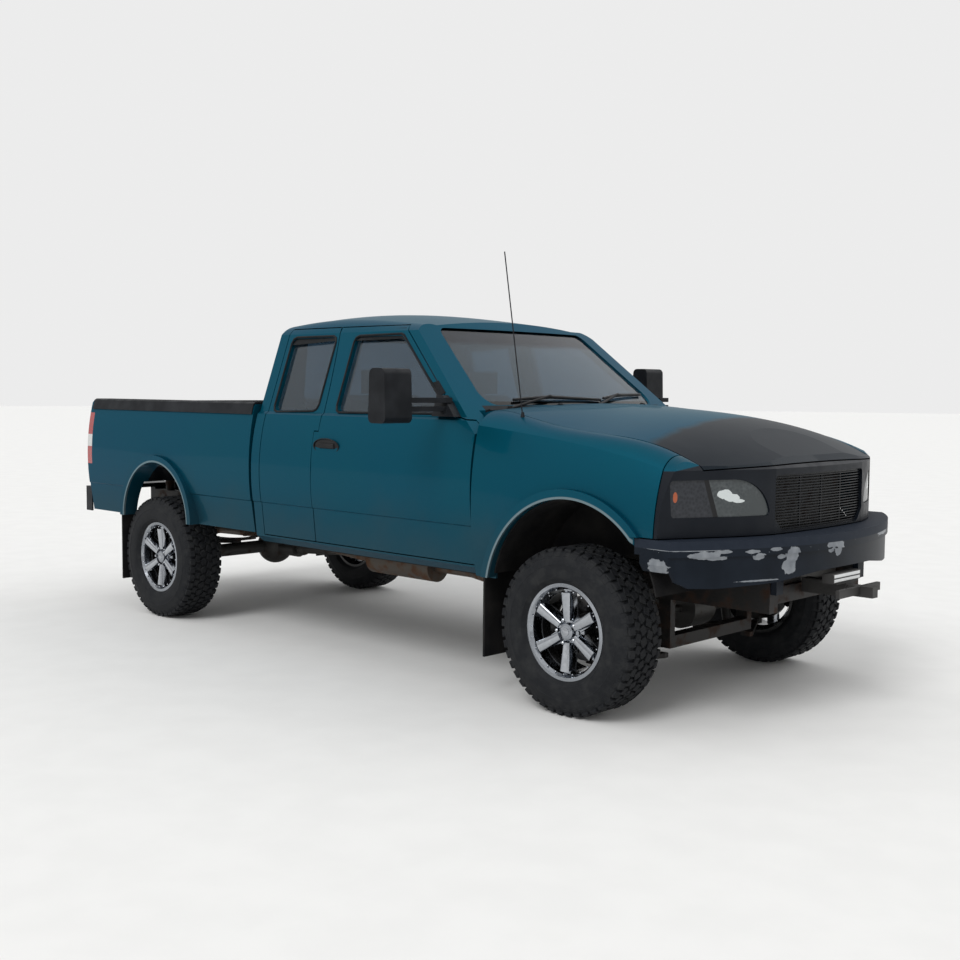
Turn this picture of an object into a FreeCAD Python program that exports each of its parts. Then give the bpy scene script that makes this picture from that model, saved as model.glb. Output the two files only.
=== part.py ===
"""A full-size pickup truck with an extended cab, a short box and four driven wheels.

Millimetres, +X forward, +Y to the driver's side, +Z up.  The origin is on the ground under
the middle of the truck.  Every driving dimension is a cell of the sheet "sizes", and the
places that follow from several of them are written once, as formulas, in PLACES.
"""
import FreeCAD, Part
import math
import os
import re
from FreeCAD import Placement, Rotation, Vector

doc = FreeCAD.newDocument("pickup_truck")
sheet = doc.addObject("Spreadsheet::Sheet", "sizes")

# Driving dimensions: name, millimetres (or a plain count or degrees).
SIZES = [
    # stance
    ("wheelbase", 3526),
    ("front_overhang", 1070),
    ("rear_overhang", 1074),
    ("track_half", 845),
    ("kingpin_half", 745),
    # tyres and rims
    ("tyre_radius", 400),
    ("tyre_width", 270),
    ("rim_radius", 216),
    ("rim_lip", 15),
    ("rim_wall", 9),
    ("rim_gap", 0.3),
    ("spoke_count", 6),
    ("spoke_root", 62),
    ("spoke_tip", 40),
    ("hub_radius", 78),
    ("cap_radius", 42),
    ("rotor_radius", 155),
    ("rotor_thickness", 26),
    ("spindle_radius", 30),
    ("running_gap", 0.3),
    # body section, from the sill up
    ("sill_height", 600),
    ("sill_half", 880),
    ("edge_height", 640),
    ("edge_half", 935),
    ("crease_height", 845),
    ("crease_half", 957),
    ("crease_step", 6),
    ("crown_height", 1085),
    ("crown_half", 975),
    ("belt_height", 1375),
    ("belt_half", 925),
    ("ledge_rise", 15),
    ("ledge_half", 905),
    ("rail_height", 1850),
    ("rail_half", 745),
    ("roof_corner_half", 600),
    ("roof_corner_drop", 50),
    ("roof_height", 1985),
    # cab
    ("door_seam", 600),
    ("cab_back", 2450),
    ("seam_gap", 6),
    ("door_thickness", 150),
    ("frame_thickness", 62),
    ("roof_thickness", 34),
    ("rear_wall", 45),
    ("floor_height", 680),
    ("floor_thickness", 30),
    ("hump_half", 200),
    ("hump_head", 852),
    ("hump_back", 1065),
    ("gearbox_radius", 100),
    ("screen_foot", 643),
    ("screen_foot_height", 1440),
    ("screen_slope", 1.24),
    ("screen_bow", 80),
    ("screen_bow_half", 753),
    ("glass_thickness", 5),
    ("glass_inset", 22),
    ("screen_inset", 10),
    ("seat_gap", 0.3),
    ("hinge_half", 977),
    ("rear_hinge", 2365),
    ("rear_door_reach", 485),
    ("rear_frame_reach", 525),
    ("rear_nose_height", 1290),
    ("door_foot", 655),
    ("door_head", 1880),
    ("pillar_width", 22),
    # front clip
    ("clip_wall", 22),
    ("nose_reach", 800),
    ("nose_depth", 60),
    ("nose_foot", 890),
    ("nose_back", 520),
    ("hood_half", 797),
    ("hood_back", 615),
    ("hood_back_bow", 69),
    ("hood_wall", 26),
    ("hood_edge", 1207),
    ("hood_edge_drop", 47),
    ("hood_back_gap", 22),
    ("hood_taper", 22),
    ("hood_pin_back", 692),
    ("hood_pin_height", 1395),
    ("hood_pin_half", 745),
    ("hood_pin_radius", 4),
    ("hood_eye_radius", 9),
    ("roll_height", 1185),
    ("arch_lead", 35),
    ("arch_height", 530),
    ("arch_radius", 500),
    ("flare_width", 46),
    ("flare_half", 1000),
    ("flare_depth", 60),
    ("liner_wall", 8),
    ("liner_gap", 0.3),
    ("liner_half", 560),
    # grille and lamps
    ("grille_half", 412),
    ("grille_foot", 896),
    ("grille_head", 1156),
    ("grille_corner", 60),
    ("grille_bars", 19),
    ("bar_height", 5),
    ("bar_depth", 14),
    ("grille_rim", 8),
    # bumpers
    ("bumper_reach", 930),
    ("bumper_bow", 330),
    ("bumper_half", 985),
    ("bumper_depth", 150),
    ("pad_depth", 190),
    ("bumper_wall", 14),
    ("bumper_foot", 670),
    ("bumper_head", 876),
    ("rear_bumper_half", 930),
    ("rear_bumper_bow", 70),
    ("rear_bumper_depth", 150),
    ("rear_bumper_foot", 640),
    ("rear_bumper_head", 815),
    ("ball_hole_radius", 12.9),
    ("plate_spacing", 177.8),
    ("plate_hole_radius", 3.5),
    # cargo box
    ("box_front", 2475),
    ("box_back", 4420),
    ("box_foot", 655),
    ("box_floor", 922),
    ("box_floor_thickness", 40),
    ("box_rail_height", 1430),
    ("box_rail_half", 930),
    ("box_rail_inner", 800),
    ("box_wall_inner", 828),
    ("box_skin", 24),
    ("headboard", 30),
    ("box_arch_height", 648),
    ("box_arch_radius", 385),
    ("box_arch_back", 3510),
    ("wheelhouse_inner", 630),
    ("wheelhouse_wall", 20),
    ("tailgate_thickness", 60),
    ("tailgate_hinge_inset", 6),
    ("cap_height", 14),
    ("tail_lamp_foot", 985),
    ("tail_lamp_head", 1345),
    ("tail_lamp_inner", 862),
    ("tail_lamp_depth", 60),
    # frame
    ("rail_inner", 352),
    ("rail_width", 72),
    ("rail_foot", 500),
    ("rail_depth", 130),
    ("kick_up", 140),
    ("cross_depth", 80),
    ("mount_radius", 34),
]


def write_sheet():
    """Write each dimension as a cell with its name beside it."""
    for row, (name, number) in enumerate(SIZES, start=1):
        sheet.set(f"A{row}", name)
        sheet.set(f"B{row}", str(number))
        sheet.setAlias(f"B{row}", name)
    doc.recompute()


# Places that follow from several dimensions, as formulas in their names.
PLACES = {
    "front_axle": "(rear_overhang + wheelbase - front_overhang) / 2",
    "rear_axle": "front_axle - wheelbase",
    "seam_place": "front_axle - door_seam",
    "cab_rear": "front_axle - cab_back",
    "rear_hinge_place": "front_axle - rear_hinge",
    "box_head_place": "front_axle - box_front",
    "box_tail_place": "front_axle - box_back",
    "arch_place": "front_axle + arch_lead",
    "box_arch_place": "front_axle - box_arch_back",
    "rail_outer": "rail_inner + rail_width",
    "rail_head": "rail_foot + rail_depth",
    "tyre_inner": "track_half - tyre_width / 2",
    "tyre_outer": "track_half + tyre_width / 2",
    "door_inner": "crown_half - door_thickness",
    "tail_end": "0 - (rear_overhang + wheelbase + front_overhang) / 2",
}


def formula(text):
    """Write out a formula in the cells' own names."""
    def spell(match):
        word = match.group()
        return f"({formula(PLACES[word])})" if word in PLACES else f"sizes.{word}"
    return re.sub(r"[a-z_]+", spell, text)


def value(text):
    """The number that a formula gives."""
    return float(sheet.evalExpression(formula(text)))


class Reader:
    """Gives each dimension and place as a number, by its name."""
    def __getattr__(self, name):
        return value(name)


write_sheet()
at = Reader()


# Document objects bound to the sheet

TURNS = {
    "X": Rotation(Vector(0, 1, 0), 90),
    "Y": Rotation(Vector(1, 0, 0), -90),
    "Z": Rotation(),
}


def bind(item, **properties):
    """Tie properties to formulas; a double underscore stands for a dot."""
    for name, text in properties.items():
        item.setExpression(name.replace("__", "."), formula(str(text)))
    return item


def put(item, x="0", y="0", z="0"):
    """Tie an object's place to formulas."""
    return bind(item, Placement__Base__x=x, Placement__Base__y=y, Placement__Base__z=z)


def block(name, x, y, z, length, width, height):
    """A box from its low corner."""
    item = doc.addObject("Part::Box", name)
    bind(item, Length=length, Width=width, Height=height)
    return put(item, x, y, z)


def rod(name, radius, length, x="0", y="0", z="0", along="Y"):
    """A cylinder along one axis, from its low end."""
    item = doc.addObject("Part::Cylinder", name)
    bind(item, Radius=radius, Height=length)
    item.Placement = Placement(Vector(), TURNS[along])
    return put(item, x, y, z)


def link(name, radius, start, end):
    """A cylinder between two points that are given as numbers."""
    item = doc.addObject("Part::Cylinder", name)
    reach = Vector(*end) - Vector(*start)
    bind(item, Radius=radius)
    item.Height = reach.Length
    item.Placement = Placement(Vector(*start), Rotation(Vector(0, 0, 1), reach))
    return item


def ball(name, radius, x="0", y="0", z="0"):
    """A full sphere."""
    item = doc.addObject("Part::Sphere", name)
    bind(item, Radius=radius)
    return put(item, x, y, z)


def fuse(name, items):
    """Join objects into one."""
    item = doc.addObject("Part::MultiFuse", name)
    item.Shapes = items
    item.Refine = True
    return item


def solid(name, shape):
    """A sub-part whose form is worked out below."""
    item = doc.addObject("Part::Feature", name)
    item.Shape = shape
    return item


NODES = []


def sub_part(item, node):
    """Name an object as one finished sub-part."""
    item.Label = node
    NODES.append(item)
    return item


# Outlines of lines and arcs

VIA = "via"


def path(points, plane, level):
    """Edges through the points; a point marked VIA is the middle of an arc."""
    place = {
        "XY": lambda point: Vector(point[0], point[1], level),
        "XZ": lambda point: Vector(point[0], level, point[1]),
        "YZ": lambda point: Vector(level, point[0], point[1]),
    }[plane]
    edges = []
    index = 0
    while index < len(points) - 1:
        start, middle = place(points[index]), place(points[index + 1])
        if len(points[index + 1]) == 3:
            edges.append(Part.Arc(start, middle, place(points[index + 2])).toShape())
            index += 2
        else:
            edges.append(Part.makeLine(start, middle))
            index += 1
    return edges


def wire(points, plane, level):
    """A closed wire through the points."""
    return Part.Wire(path(list(points) + [points[0]], plane, level))


def prism(points, plane, low, high, lean=0):
    """An outline drawn on a plane at one level and run to another."""
    run = {
        "XY": Vector(lean, 0, high - low),
        "XZ": Vector(lean, high - low, 0),
        "YZ": Vector(high - low, lean, 0),
    }[plane]
    return Part.Face(wire(points, plane, low)).extrude(run)


def rounded(points, radius):
    """The corners of a polygon rounded to one radius."""
    result = []
    count = len(points)
    for index, corner in enumerate(points):
        tip = Vector(corner[0], corner[1], 0)
        back = Vector(*points[index - 1], 0) - tip
        ahead = Vector(*points[(index + 1) % count], 0) - tip
        half = back.getAngle(ahead) / 2
        reach = min(radius / math.tan(half), 0.45 * min(back.Length, ahead.Length))
        turn = reach * math.tan(half)
        back.normalize()
        ahead.normalize()
        inward = back + ahead
        inward.normalize()
        middle = tip + inward * (turn / math.sin(half) - turn)
        start, end = tip + back * reach, tip + ahead * reach
        result += [(start.x, start.y), (middle.x, middle.y, VIA), (end.x, end.y)]
    return result


def mirrored(points):
    """A half section and its mirror image, as one closed outline."""
    other = [(-point[0],) + tuple(point[1:]) for point in reversed(points)]
    return list(points) + [point for point in other if point[0] != 0]


def grown(points, plane, amount):
    """The same outline, moved outwards all round."""
    return Part.Face(wire(points, plane, 0)).makeOffset2D(amount)


def grown_prism(points, plane, low, high, amount):
    """A prism of an outline that was moved outwards."""
    face = grown(points, plane, amount)
    run = {"XY": Vector(0, 0, 1), "XZ": Vector(0, 1, 0), "YZ": Vector(1, 0, 0)}[plane]
    face.translate(run * low)
    return face.extrude(run * (high - low))


def bow_block(reach, bow, half, back, low, high, lean=0, wide=None):
    """A block whose front is an arc in plan: reach at the middle, less bow at half width."""
    wide = wide or half
    radius = (half * half + bow * bow) / (2 * bow)
    drop = radius - math.sqrt(radius * radius - wide * wide)
    points = [(back, -wide), (reach - drop, -wide), (reach, 0, VIA), (reach - drop, wide), (back, wide)]
    return prism(points, "XY", low, high, lean)


def slab(x_low, x_high, y_low, y_high, z_low, z_high):
    """A plain box between limits, used to trim other shapes."""
    return Part.makeBox(x_high - x_low, y_high - y_low, z_high - z_low, Vector(x_low, y_low, z_low))


def round_bar(radius, start, end):
    """A round bar between two points."""
    reach = Vector(*end) - Vector(*start)
    return Part.makeCylinder(radius, reach.Length, Vector(*start), reach)


def flip(shape):
    """The same piece on the other side of the truck."""
    return shape.mirror(Vector(), Vector(0, 1, 0))


def single(shape):
    """The one solid that a boolean left, or all of them as they are."""
    return shape.Solids[0] if len(shape.Solids) == 1 else shape


# Cab

# place along the truck, roof height, roof corner drop
CAB_STATIONS = [
    (at.cab_rear, at.roof_height - 30, at.roof_corner_drop),
    (at.cab_rear + 520, at.roof_height, at.roof_corner_drop),
    (at.front_axle - 1180, at.roof_height - 75, at.roof_corner_drop - 14),
    (at.seam_place - at.seam_gap, at.roof_height - 130, at.roof_corner_drop),
]


def side_profile(side_inset, top_inset, foot):
    """The half section from the sill to the top of the window frame."""
    low = at.crown_half - side_inset
    shift = at.crown_half - low
    high = top_inset
    return [
        (at.sill_half - shift, foot),
        (at.edge_half - shift, foot + at.edge_height - at.sill_height),
        (at.crease_half - shift, at.crease_height),
        (at.crease_half + at.crease_step - shift, at.crease_height + at.crease_step),
        (at.crown_half - shift, at.crown_height, VIA),
        (at.belt_half - shift, at.belt_height),
        (at.ledge_half - high, at.belt_height + at.ledge_rise),
        (at.rail_half - high, at.rail_height),
    ]


def cab_section(place, roof, drop, side_inset, top_inset, roof_inset, foot):
    """One closed section of the cab across the truck."""
    corner = (at.roof_corner_half - top_inset, roof - drop - roof_inset)
    shoulder_y = (at.rail_half + at.roof_corner_half) / 2 - top_inset + 22
    shoulder_z = (at.rail_height + roof - drop - roof_inset) / 2 + 12
    half = side_profile(side_inset, top_inset, foot)
    half += [(shoulder_y, shoulder_z, VIA), corner, (0, roof - roof_inset, VIA)]
    return wire(mirrored(half), "YZ", place)


def cab_loft(side_inset, top_inset, roof_inset, foot):
    """The cab's section carried from its back to its front."""
    wires = []
    for place, roof, drop in CAB_STATIONS:
        wires.append(cab_section(place, roof, drop, side_inset, top_inset, roof_inset, foot))
    return Part.makeLoft(wires, True, False)


def screen_block(inset, back):
    """Everything behind the sloping, bowed plane of the windshield, moved in by an inset."""
    low, high = 300, 2200
    reach = at.front_axle - at.screen_foot - inset * math.hypot(1, at.screen_slope)
    reach += at.screen_slope * (at.screen_foot_height - low)
    lean = -at.screen_slope * (high - low)
    return bow_block(reach, at.screen_bow, at.screen_bow_half, back, low, high, lean, 1100)


def cab_outer():
    form = cab_loft(0, 0, 0, at.sill_height)
    return form.common(screen_block(0, at.cab_rear - 3000))


def cab_inner():
    side = at.door_thickness
    form = cab_loft(side, at.frame_thickness, at.roof_thickness, at.floor_height)
    back = at.cab_rear + at.rear_wall
    front = at.seam_place - at.rear_wall - 20
    form = form.common(slab(back, front, -1100, 1100, at.floor_height, 2200))
    return form.common(screen_block(at.roof_thickness, back - 3000))


def door_core(slack):
    """The space inside the doors, carried on beyond the cab's floor and ends."""
    side, head, roof = at.door_thickness + slack, at.frame_thickness + slack, at.roof_thickness + slack
    core = cab_loft(side, head, roof, at.sill_height - 300)
    half, back = 870 - slack, at.seam_place - 180 + slack
    ahead = slab(back, at.seam_place + 200, -half, half, at.sill_height - 300, 1390 - slack)
    return core.fuse(ahead)


def hood_rear_line():
    """Everything behind the rear edge of the hood."""
    return bow_block(at.front_axle - at.hood_back, at.hood_back_bow, 760, 0, 500, 2000, 0, 1100)


def hood_plan(grow, low, high):
    """The hood's outline in plan between its side seams, run from one level to another."""
    half, front = at.hood_half + grow, at.hood_half - at.hood_taper + grow
    taper_start, taper_end = at.front_axle + 100, at.front_axle + 620
    points = [
        (0, -half), (taper_start, -half), (taper_end, -front), (3000, -front),
        (3000, front), (taper_end, front), (taper_start, half), (0, half),
    ]
    return prism(points, "XY", low, high)


def hood_space(grow):
    """Everything above the hood's front edge and between its side seams."""
    edge, side = at.hood_edge - grow, at.hood_edge - at.hood_edge_drop - grow
    points = [(-1200, side), (0, edge, VIA), (1200, side), (1200, 2000), (-1200, 2000)]
    return prism(points, "YZ", 0, 3000).common(hood_plan(grow, 0, 2000))


# Outlines of the doors and windows, seen from the side
RAKE = at.screen_slope * 0.95
PILLAR_FOOT = at.front_axle - at.screen_foot - 108 - at.pillar_width


def pillar_line(height):
    """Where the rear edge of the windshield pillar is, at a height."""
    return PILLAR_FOOT - RAKE * (height - at.belt_height - at.ledge_rise)


DOOR_REAR = at.rear_hinge_place + at.rear_door_reach + at.seam_gap
DOOR_LIMIT = DOOR_REAR + 240
FRONT_DOOR = [
    (at.seam_place, at.door_foot),
    (at.seam_place, at.belt_height - 15),
    (pillar_line(at.belt_height + 15), at.belt_height + 15),
    (pillar_line(at.door_head), at.door_head),
    (DOOR_REAR - 400, at.door_head),
    (DOOR_REAR - 400, at.door_foot),
]
REAR_DOOR = [
    (DOOR_LIMIT, at.door_foot),
    (DOOR_LIMIT, at.door_head),
    (at.rear_hinge_place, at.door_head),
    (at.rear_hinge_place, at.door_foot),
]
FRONT_WINDOW = [
    (at.front_axle - 844, 1408),
    (at.front_axle - 1348, 1822),
    (at.front_axle - 1735, 1822),
    (at.front_axle - 1735, 1400),
]
REAR_WINDOW = [
    (at.front_axle - 1914, 1408),
    (at.front_axle - 1914, 1824),
    (at.front_axle - 2314, 1824),
    (at.front_axle - 2314, 1396),
]
SCREEN = [(736, 1450), (604, 1868), (-604, 1868), (-736, 1450)]
BACK_LIGHT = [(610, 1440), (575, 1830), (-575, 1830), (-610, 1440)]
REAR_EDGE_SKEW = 0.24
# heights at which the seam between the doors is worked out, below and above the rear door's nose
SEAM_LOW = [at.door_foot - 60, at.crease_height, at.crown_height]
SEAM_HIGH = [at.belt_height, at.belt_height + at.ledge_rise, 1545, 1700, at.rail_height, 1980]


def skin_half(height):
    """Half width of the cab's side at a height."""
    points = [
        (0, at.edge_half - 10), (at.edge_height, at.edge_half), (at.crease_height, at.crease_half),
        (at.crown_height, at.crown_half), (at.belt_height, at.belt_half),
        (at.belt_height + at.ledge_rise, at.ledge_half), (at.rail_height, at.rail_half),
        (at.rail_height + 200, at.rail_half - 70),
    ]
    for (low, start), (high, end) in zip(points, points[1:]):
        if height <= high:
            return start + (end - start) * (height - low) / (high - low)
    return points[-1][1]


def seam_point(height, reach):
    """A point of the front door's rear edge, a gap ahead of the rear door's reach."""
    depth = at.hinge_half - skin_half(height)
    ahead = math.sqrt(reach * reach - depth * depth) - REAR_EDGE_SKEW * depth
    return (at.rear_hinge_place + ahead + at.seam_gap, height)


def front_door_zone(grow):
    """The space of the right front door, grown by a gap."""
    outline = grown_prism(FRONT_DOOR, "XZ", -1100, -at.roof_corner_half + 60, grow)
    nose = at.rear_nose_height - at.seam_gap
    edge = [seam_point(height, at.rear_door_reach) for height in SEAM_LOW + [nose]]
    edge += [seam_point(height, at.rear_frame_reach) for height in [nose] + SEAM_HIGH]
    edge = [(x - grow, z) for x, z in edge] + [(2000, edge[-1][1]), (2000, edge[0][1])]
    depth = at.hinge_half - at.roof_corner_half + 160
    keep = prism(edge, "XZ", -at.hinge_half - 100, -at.hinge_half - 100 + depth, REAR_EDGE_SKEW * depth)
    return outline.common(keep.translated(Vector(-REAR_EDGE_SKEW * 100, 0, 0)))


def rear_door_zone(grow):
    """The space of the right rear door: within its reach from the hinge, longer above the handle."""
    outline = grown_prism(REAR_DOOR, "XZ", -1100, -at.roof_corner_half + 60, grow)
    centre = Vector(at.rear_hinge_place, -at.hinge_half, 300)
    low = Part.makeCylinder(at.rear_door_reach + grow, 1700, centre)
    centre.z = at.rear_nose_height - grow
    high = Part.makeCylinder(at.rear_frame_reach + grow, 900, centre)
    return outline.common(low.fuse(high))


def side_slab(inset, thickness):
    """A plate parallel to the right side windows."""
    rise = at.rail_height - at.belt_height - at.ledge_rise
    lean = (at.ledge_half - at.rail_half) / rise
    low, high = at.belt_height - 60, at.rail_height + 60
    foot = at.ledge_half + lean * (at.belt_height + at.ledge_rise - low) - inset
    head = foot - lean * (high - low)
    points = [(-foot, low), (-head, high), (-head + thickness, high), (-foot + thickness, low)]
    return prism(points, "YZ", at.cab_rear, at.seam_place)


def make_cab():
    """Cab shell, doors and glass, cut from one hollow form."""
    gap = at.seam_gap
    outer = cab_outer()
    inner = cab_inner()
    ring = outer.cut(inner)
    tunnel = slab(at.cab_rear - 10, at.seam_place + 10, -720, 720, 0, at.floor_height - at.floor_thickness)
    ring = ring.cut(tunnel)
    half, head, thick = at.hump_half, at.hump_head, at.floor_thickness
    back, front = at.front_axle - at.hump_back, at.seam_place - gap
    foot = at.floor_height - thick
    hump = slab(back, front, -half, half, foot, head)
    ring = ring.fuse(hump).cut(slab(back + thick, front + 10, thick - half, half - thick, 0, head - thick))

    cowl_zone = slab(at.seam_place - 300, at.seam_place + 50, -762, 762, 1352, at.screen_foot_height + 8)
    cowl = ring.common(cowl_zone)
    ring = ring.cut(cowl_zone)

    under_hood = slab(0, 3000, -at.hood_half - gap, at.hood_half + gap, 1352, 2000)
    under_hood = under_hood.cut(hood_rear_line().translated(Vector(-at.hood_back_gap, 0, 0)))
    pin_x, pin_y, pin_z = at.front_axle - at.hood_pin_back, at.hood_pin_half, at.hood_pin_height
    for side in (-1, 1):
        pocket = slab(pin_x - 15, pin_x + 100, side * pin_y - 16, side * pin_y + 16, 1352, 2000)
        under_hood = under_hood.fuse(pocket)
    ring = ring.cut(under_hood)
    cowl = cowl.cut(under_hood)
    # pins of the hood's hinges, each on a lug inboard of the hood's eye
    for side in (-1, 1):
        start = side * pin_y - side * 30
        reach = Vector(0, side, 0)
        boss = Part.makeCylinder(7, 14, Vector(pin_x, start, pin_z), reach)
        pin = Part.makeCylinder(at.hood_pin_radius, 40, Vector(pin_x, start, pin_z), reach)
        lug_low = min(start, start + side * 14)
        lug = slab(pin_x - 30, pin_x, lug_low, lug_low + 14, pin_z - 7, pin_z + 7)
        cowl = cowl.multiFuse([boss, pin, lug])

    front_windows = prism(rounded(FRONT_WINDOW, 34), "XZ", -1100, -500)
    rear_windows = prism(rounded(REAR_WINDOW, 34), "XZ", -1100, -500)
    walls = outer.cut(door_core(0))
    doors = {}
    for name, zone, window in (
        ("front", front_door_zone, front_windows),
        ("rear", rear_door_zone, rear_windows),
    ):
        door = walls.common(zone(0)).cut(window)
        doors[name] = single(door)
    # stays ahead of the doors that carry the fenders
    shell = ring
    stay_start = at.seam_place + gap + 5
    stays = []
    for side in (-1, 1):
        low = min(side * 780, side * 810)
        inner_stay = slab(at.seam_place - 60, stay_start + 54, low, low + 30, 900, 1000)
        low = min(side * 780, side * 1000)
        outer_stay = slab(stay_start, stay_start + 54, low, low + 220, 900, 1000)
        outer_stay = outer_stay.common(clip_form(at.clip_wall + at.seat_gap, at.nose_depth))
        stays += [inner_stay, outer_stay]
    core = door_core(gap)
    for zone in (front_door_zone(gap), rear_door_zone(gap)):
        zone = zone.cut(core)
        shell = shell.cut(zone).cut(flip(zone))
    # pads that the closed doors rest on, ahead of the front door and behind the rear one
    for side in (-1, 1):
        low = min(side * 880, side * 940)
        front_pad = slab(at.seam_place - gap + at.seat_gap, stay_start + 10, low, low + 60, 930, 970)
        low = min(side * 850, side * 920)
        pad_start, pad_end = at.rear_hinge_place - gap - 10, at.rear_hinge_place - at.seat_gap
        rear_pads = [slab(pad_start, pad_end, low, low + 70, place, place + 60) for place in (760, 1160)]
        stays += [front_pad] + rear_pads
    shell = shell.multiFuse(stays)
    screen_hole = prism(rounded(SCREEN, 60), "YZ", 0, 1500)
    back_hole = prism(rounded(BACK_LIGHT, 50), "YZ", at.cab_rear - 50, at.cab_rear + 100)
    shell = shell.cut(screen_hole).cut(back_hole)

    slack = -at.seat_gap
    glass = at.glass_thickness
    layer = screen_block(at.screen_inset, -1000).cut(screen_block(at.screen_inset + glass, -1200))
    screen = layer.common(grown_prism(rounded(SCREEN, 60), "YZ", 0, 1500, slack))
    back = grown_prism(rounded(BACK_LIGHT, 50), "YZ", at.cab_rear + 18, at.cab_rear + 18 + glass, slack)
    plate = side_slab(at.glass_inset, glass)
    front_glass = plate.common(grown_prism(rounded(FRONT_WINDOW, 34), "XZ", -1100, -500, slack))
    rear_glass = plate.common(grown_prism(rounded(REAR_WINDOW, 34), "XZ", -1100, -500, slack))

    sub_part(solid("cab_shell_form", single(shell)), "cab_shell")
    sub_part(solid("cowl_form", single(cowl)), "cowl_panel")
    sub_part(solid("windshield_form", single(screen)), "windshield")
    sub_part(solid("rear_window_form", back), "rear_window")
    for side, shape_of in (("right", lambda shape: shape), ("left", flip)):
        sub_part(solid(f"front_door_{side}_form", shape_of(doors["front"])), f"front_door_{side}")
        sub_part(solid(f"rear_door_{side}_form", shape_of(doors["rear"])), f"rear_door_{side}")
        pane = single(shape_of(front_glass))
        sub_part(solid(f"front_glass_{side}_form", pane), f"front_door_glass_{side}")
        sub_part(solid(f"rear_glass_{side}_form", single(shape_of(rear_glass))), f"rear_door_glass_{side}")


# Hood, fenders and nose

# place before the front axle, widest, top of side, top of side height, hood centre height,
# hood side half width, hood side height
CLIP_STATIONS = [
    (-700, 972, 925, 1362, 1448, 770, 1402),
    (-250, 971, 921, 1318, 1450, 786, 1372),
    (150, 970, 917, 1266, 1420, 797, 1325),
    (450, 968, 913, 1206, 1358, 790, 1270),
    (620, 967, 909, 1162, 1298, 775, 1203),
    (800, 966, 905, 1112, 1225, 765, 1125),
]
# how far the nose falls back from its middle, and at which half width
NOSE = [(373, -1200), (135, -720), (63, -560, VIA), (20, -410), (0, 0, VIA),
        (20, 410), (63, 560, VIA), (135, 720), (373, 1200)]
# slopes that round the hood's front edge: run per rise, and how high each begins above the edge
ROLLS = [(1.0, 0), (2.4, 50)]


def nose_block(inset, low, high, slope=0):
    """Everything behind the face of the nose; a slope leans the face back as it rises."""
    reach = at.front_axle + at.nose_reach - inset
    points = [(reach - point[0],) + point[1:] for point in NOSE]
    points = [(-3000, -1200)] + points + [(-3000, 1200)]
    return prism(points, "XY", low, high, -slope * (high - low))


def clip_form(inset, front_inset):
    """The form of hood and fenders together, moved in by an inset."""
    wires = []
    foot = at.sill_height - 2 * inset
    for ahead, wide, top_half, top, crest, hood_half, hood_side in CLIP_STATIONS:
        half = [
            (at.edge_half - inset, foot),
            (wide + 3 - inset, (foot + top) / 2 + 90, VIA),
            (top_half - inset, top - inset),
            ((top_half + hood_half) / 2 + 14 - inset, (top + hood_side) / 2 + 14 - inset, VIA),
            (hood_half - inset, hood_side - inset),
            (0, crest - inset, VIA),
        ]
        wires.append(wire(mirrored(half), "YZ", at.front_axle + ahead))
    form = Part.makeLoft(wires, True, False).common(nose_block(front_inset, 0, 2000))
    for slope, rise in ROLLS:
        back = front_inset - slope * (at.roll_height + rise) + (rise if rise else 0)
        form = form.common(nose_block(back, 0, 2000, slope))
    return form


def arch_ring(inner, outer, y_low, y_high):
    """A ring round the right front wheel."""
    centre = Vector(at.arch_place, y_low, at.arch_height)
    ring = Part.makeCylinder(outer, y_high - y_low, centre, Vector(0, 1, 0))
    return ring.cut(Part.makeCylinder(inner, y_high - y_low, centre, Vector(0, 1, 0)))


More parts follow.
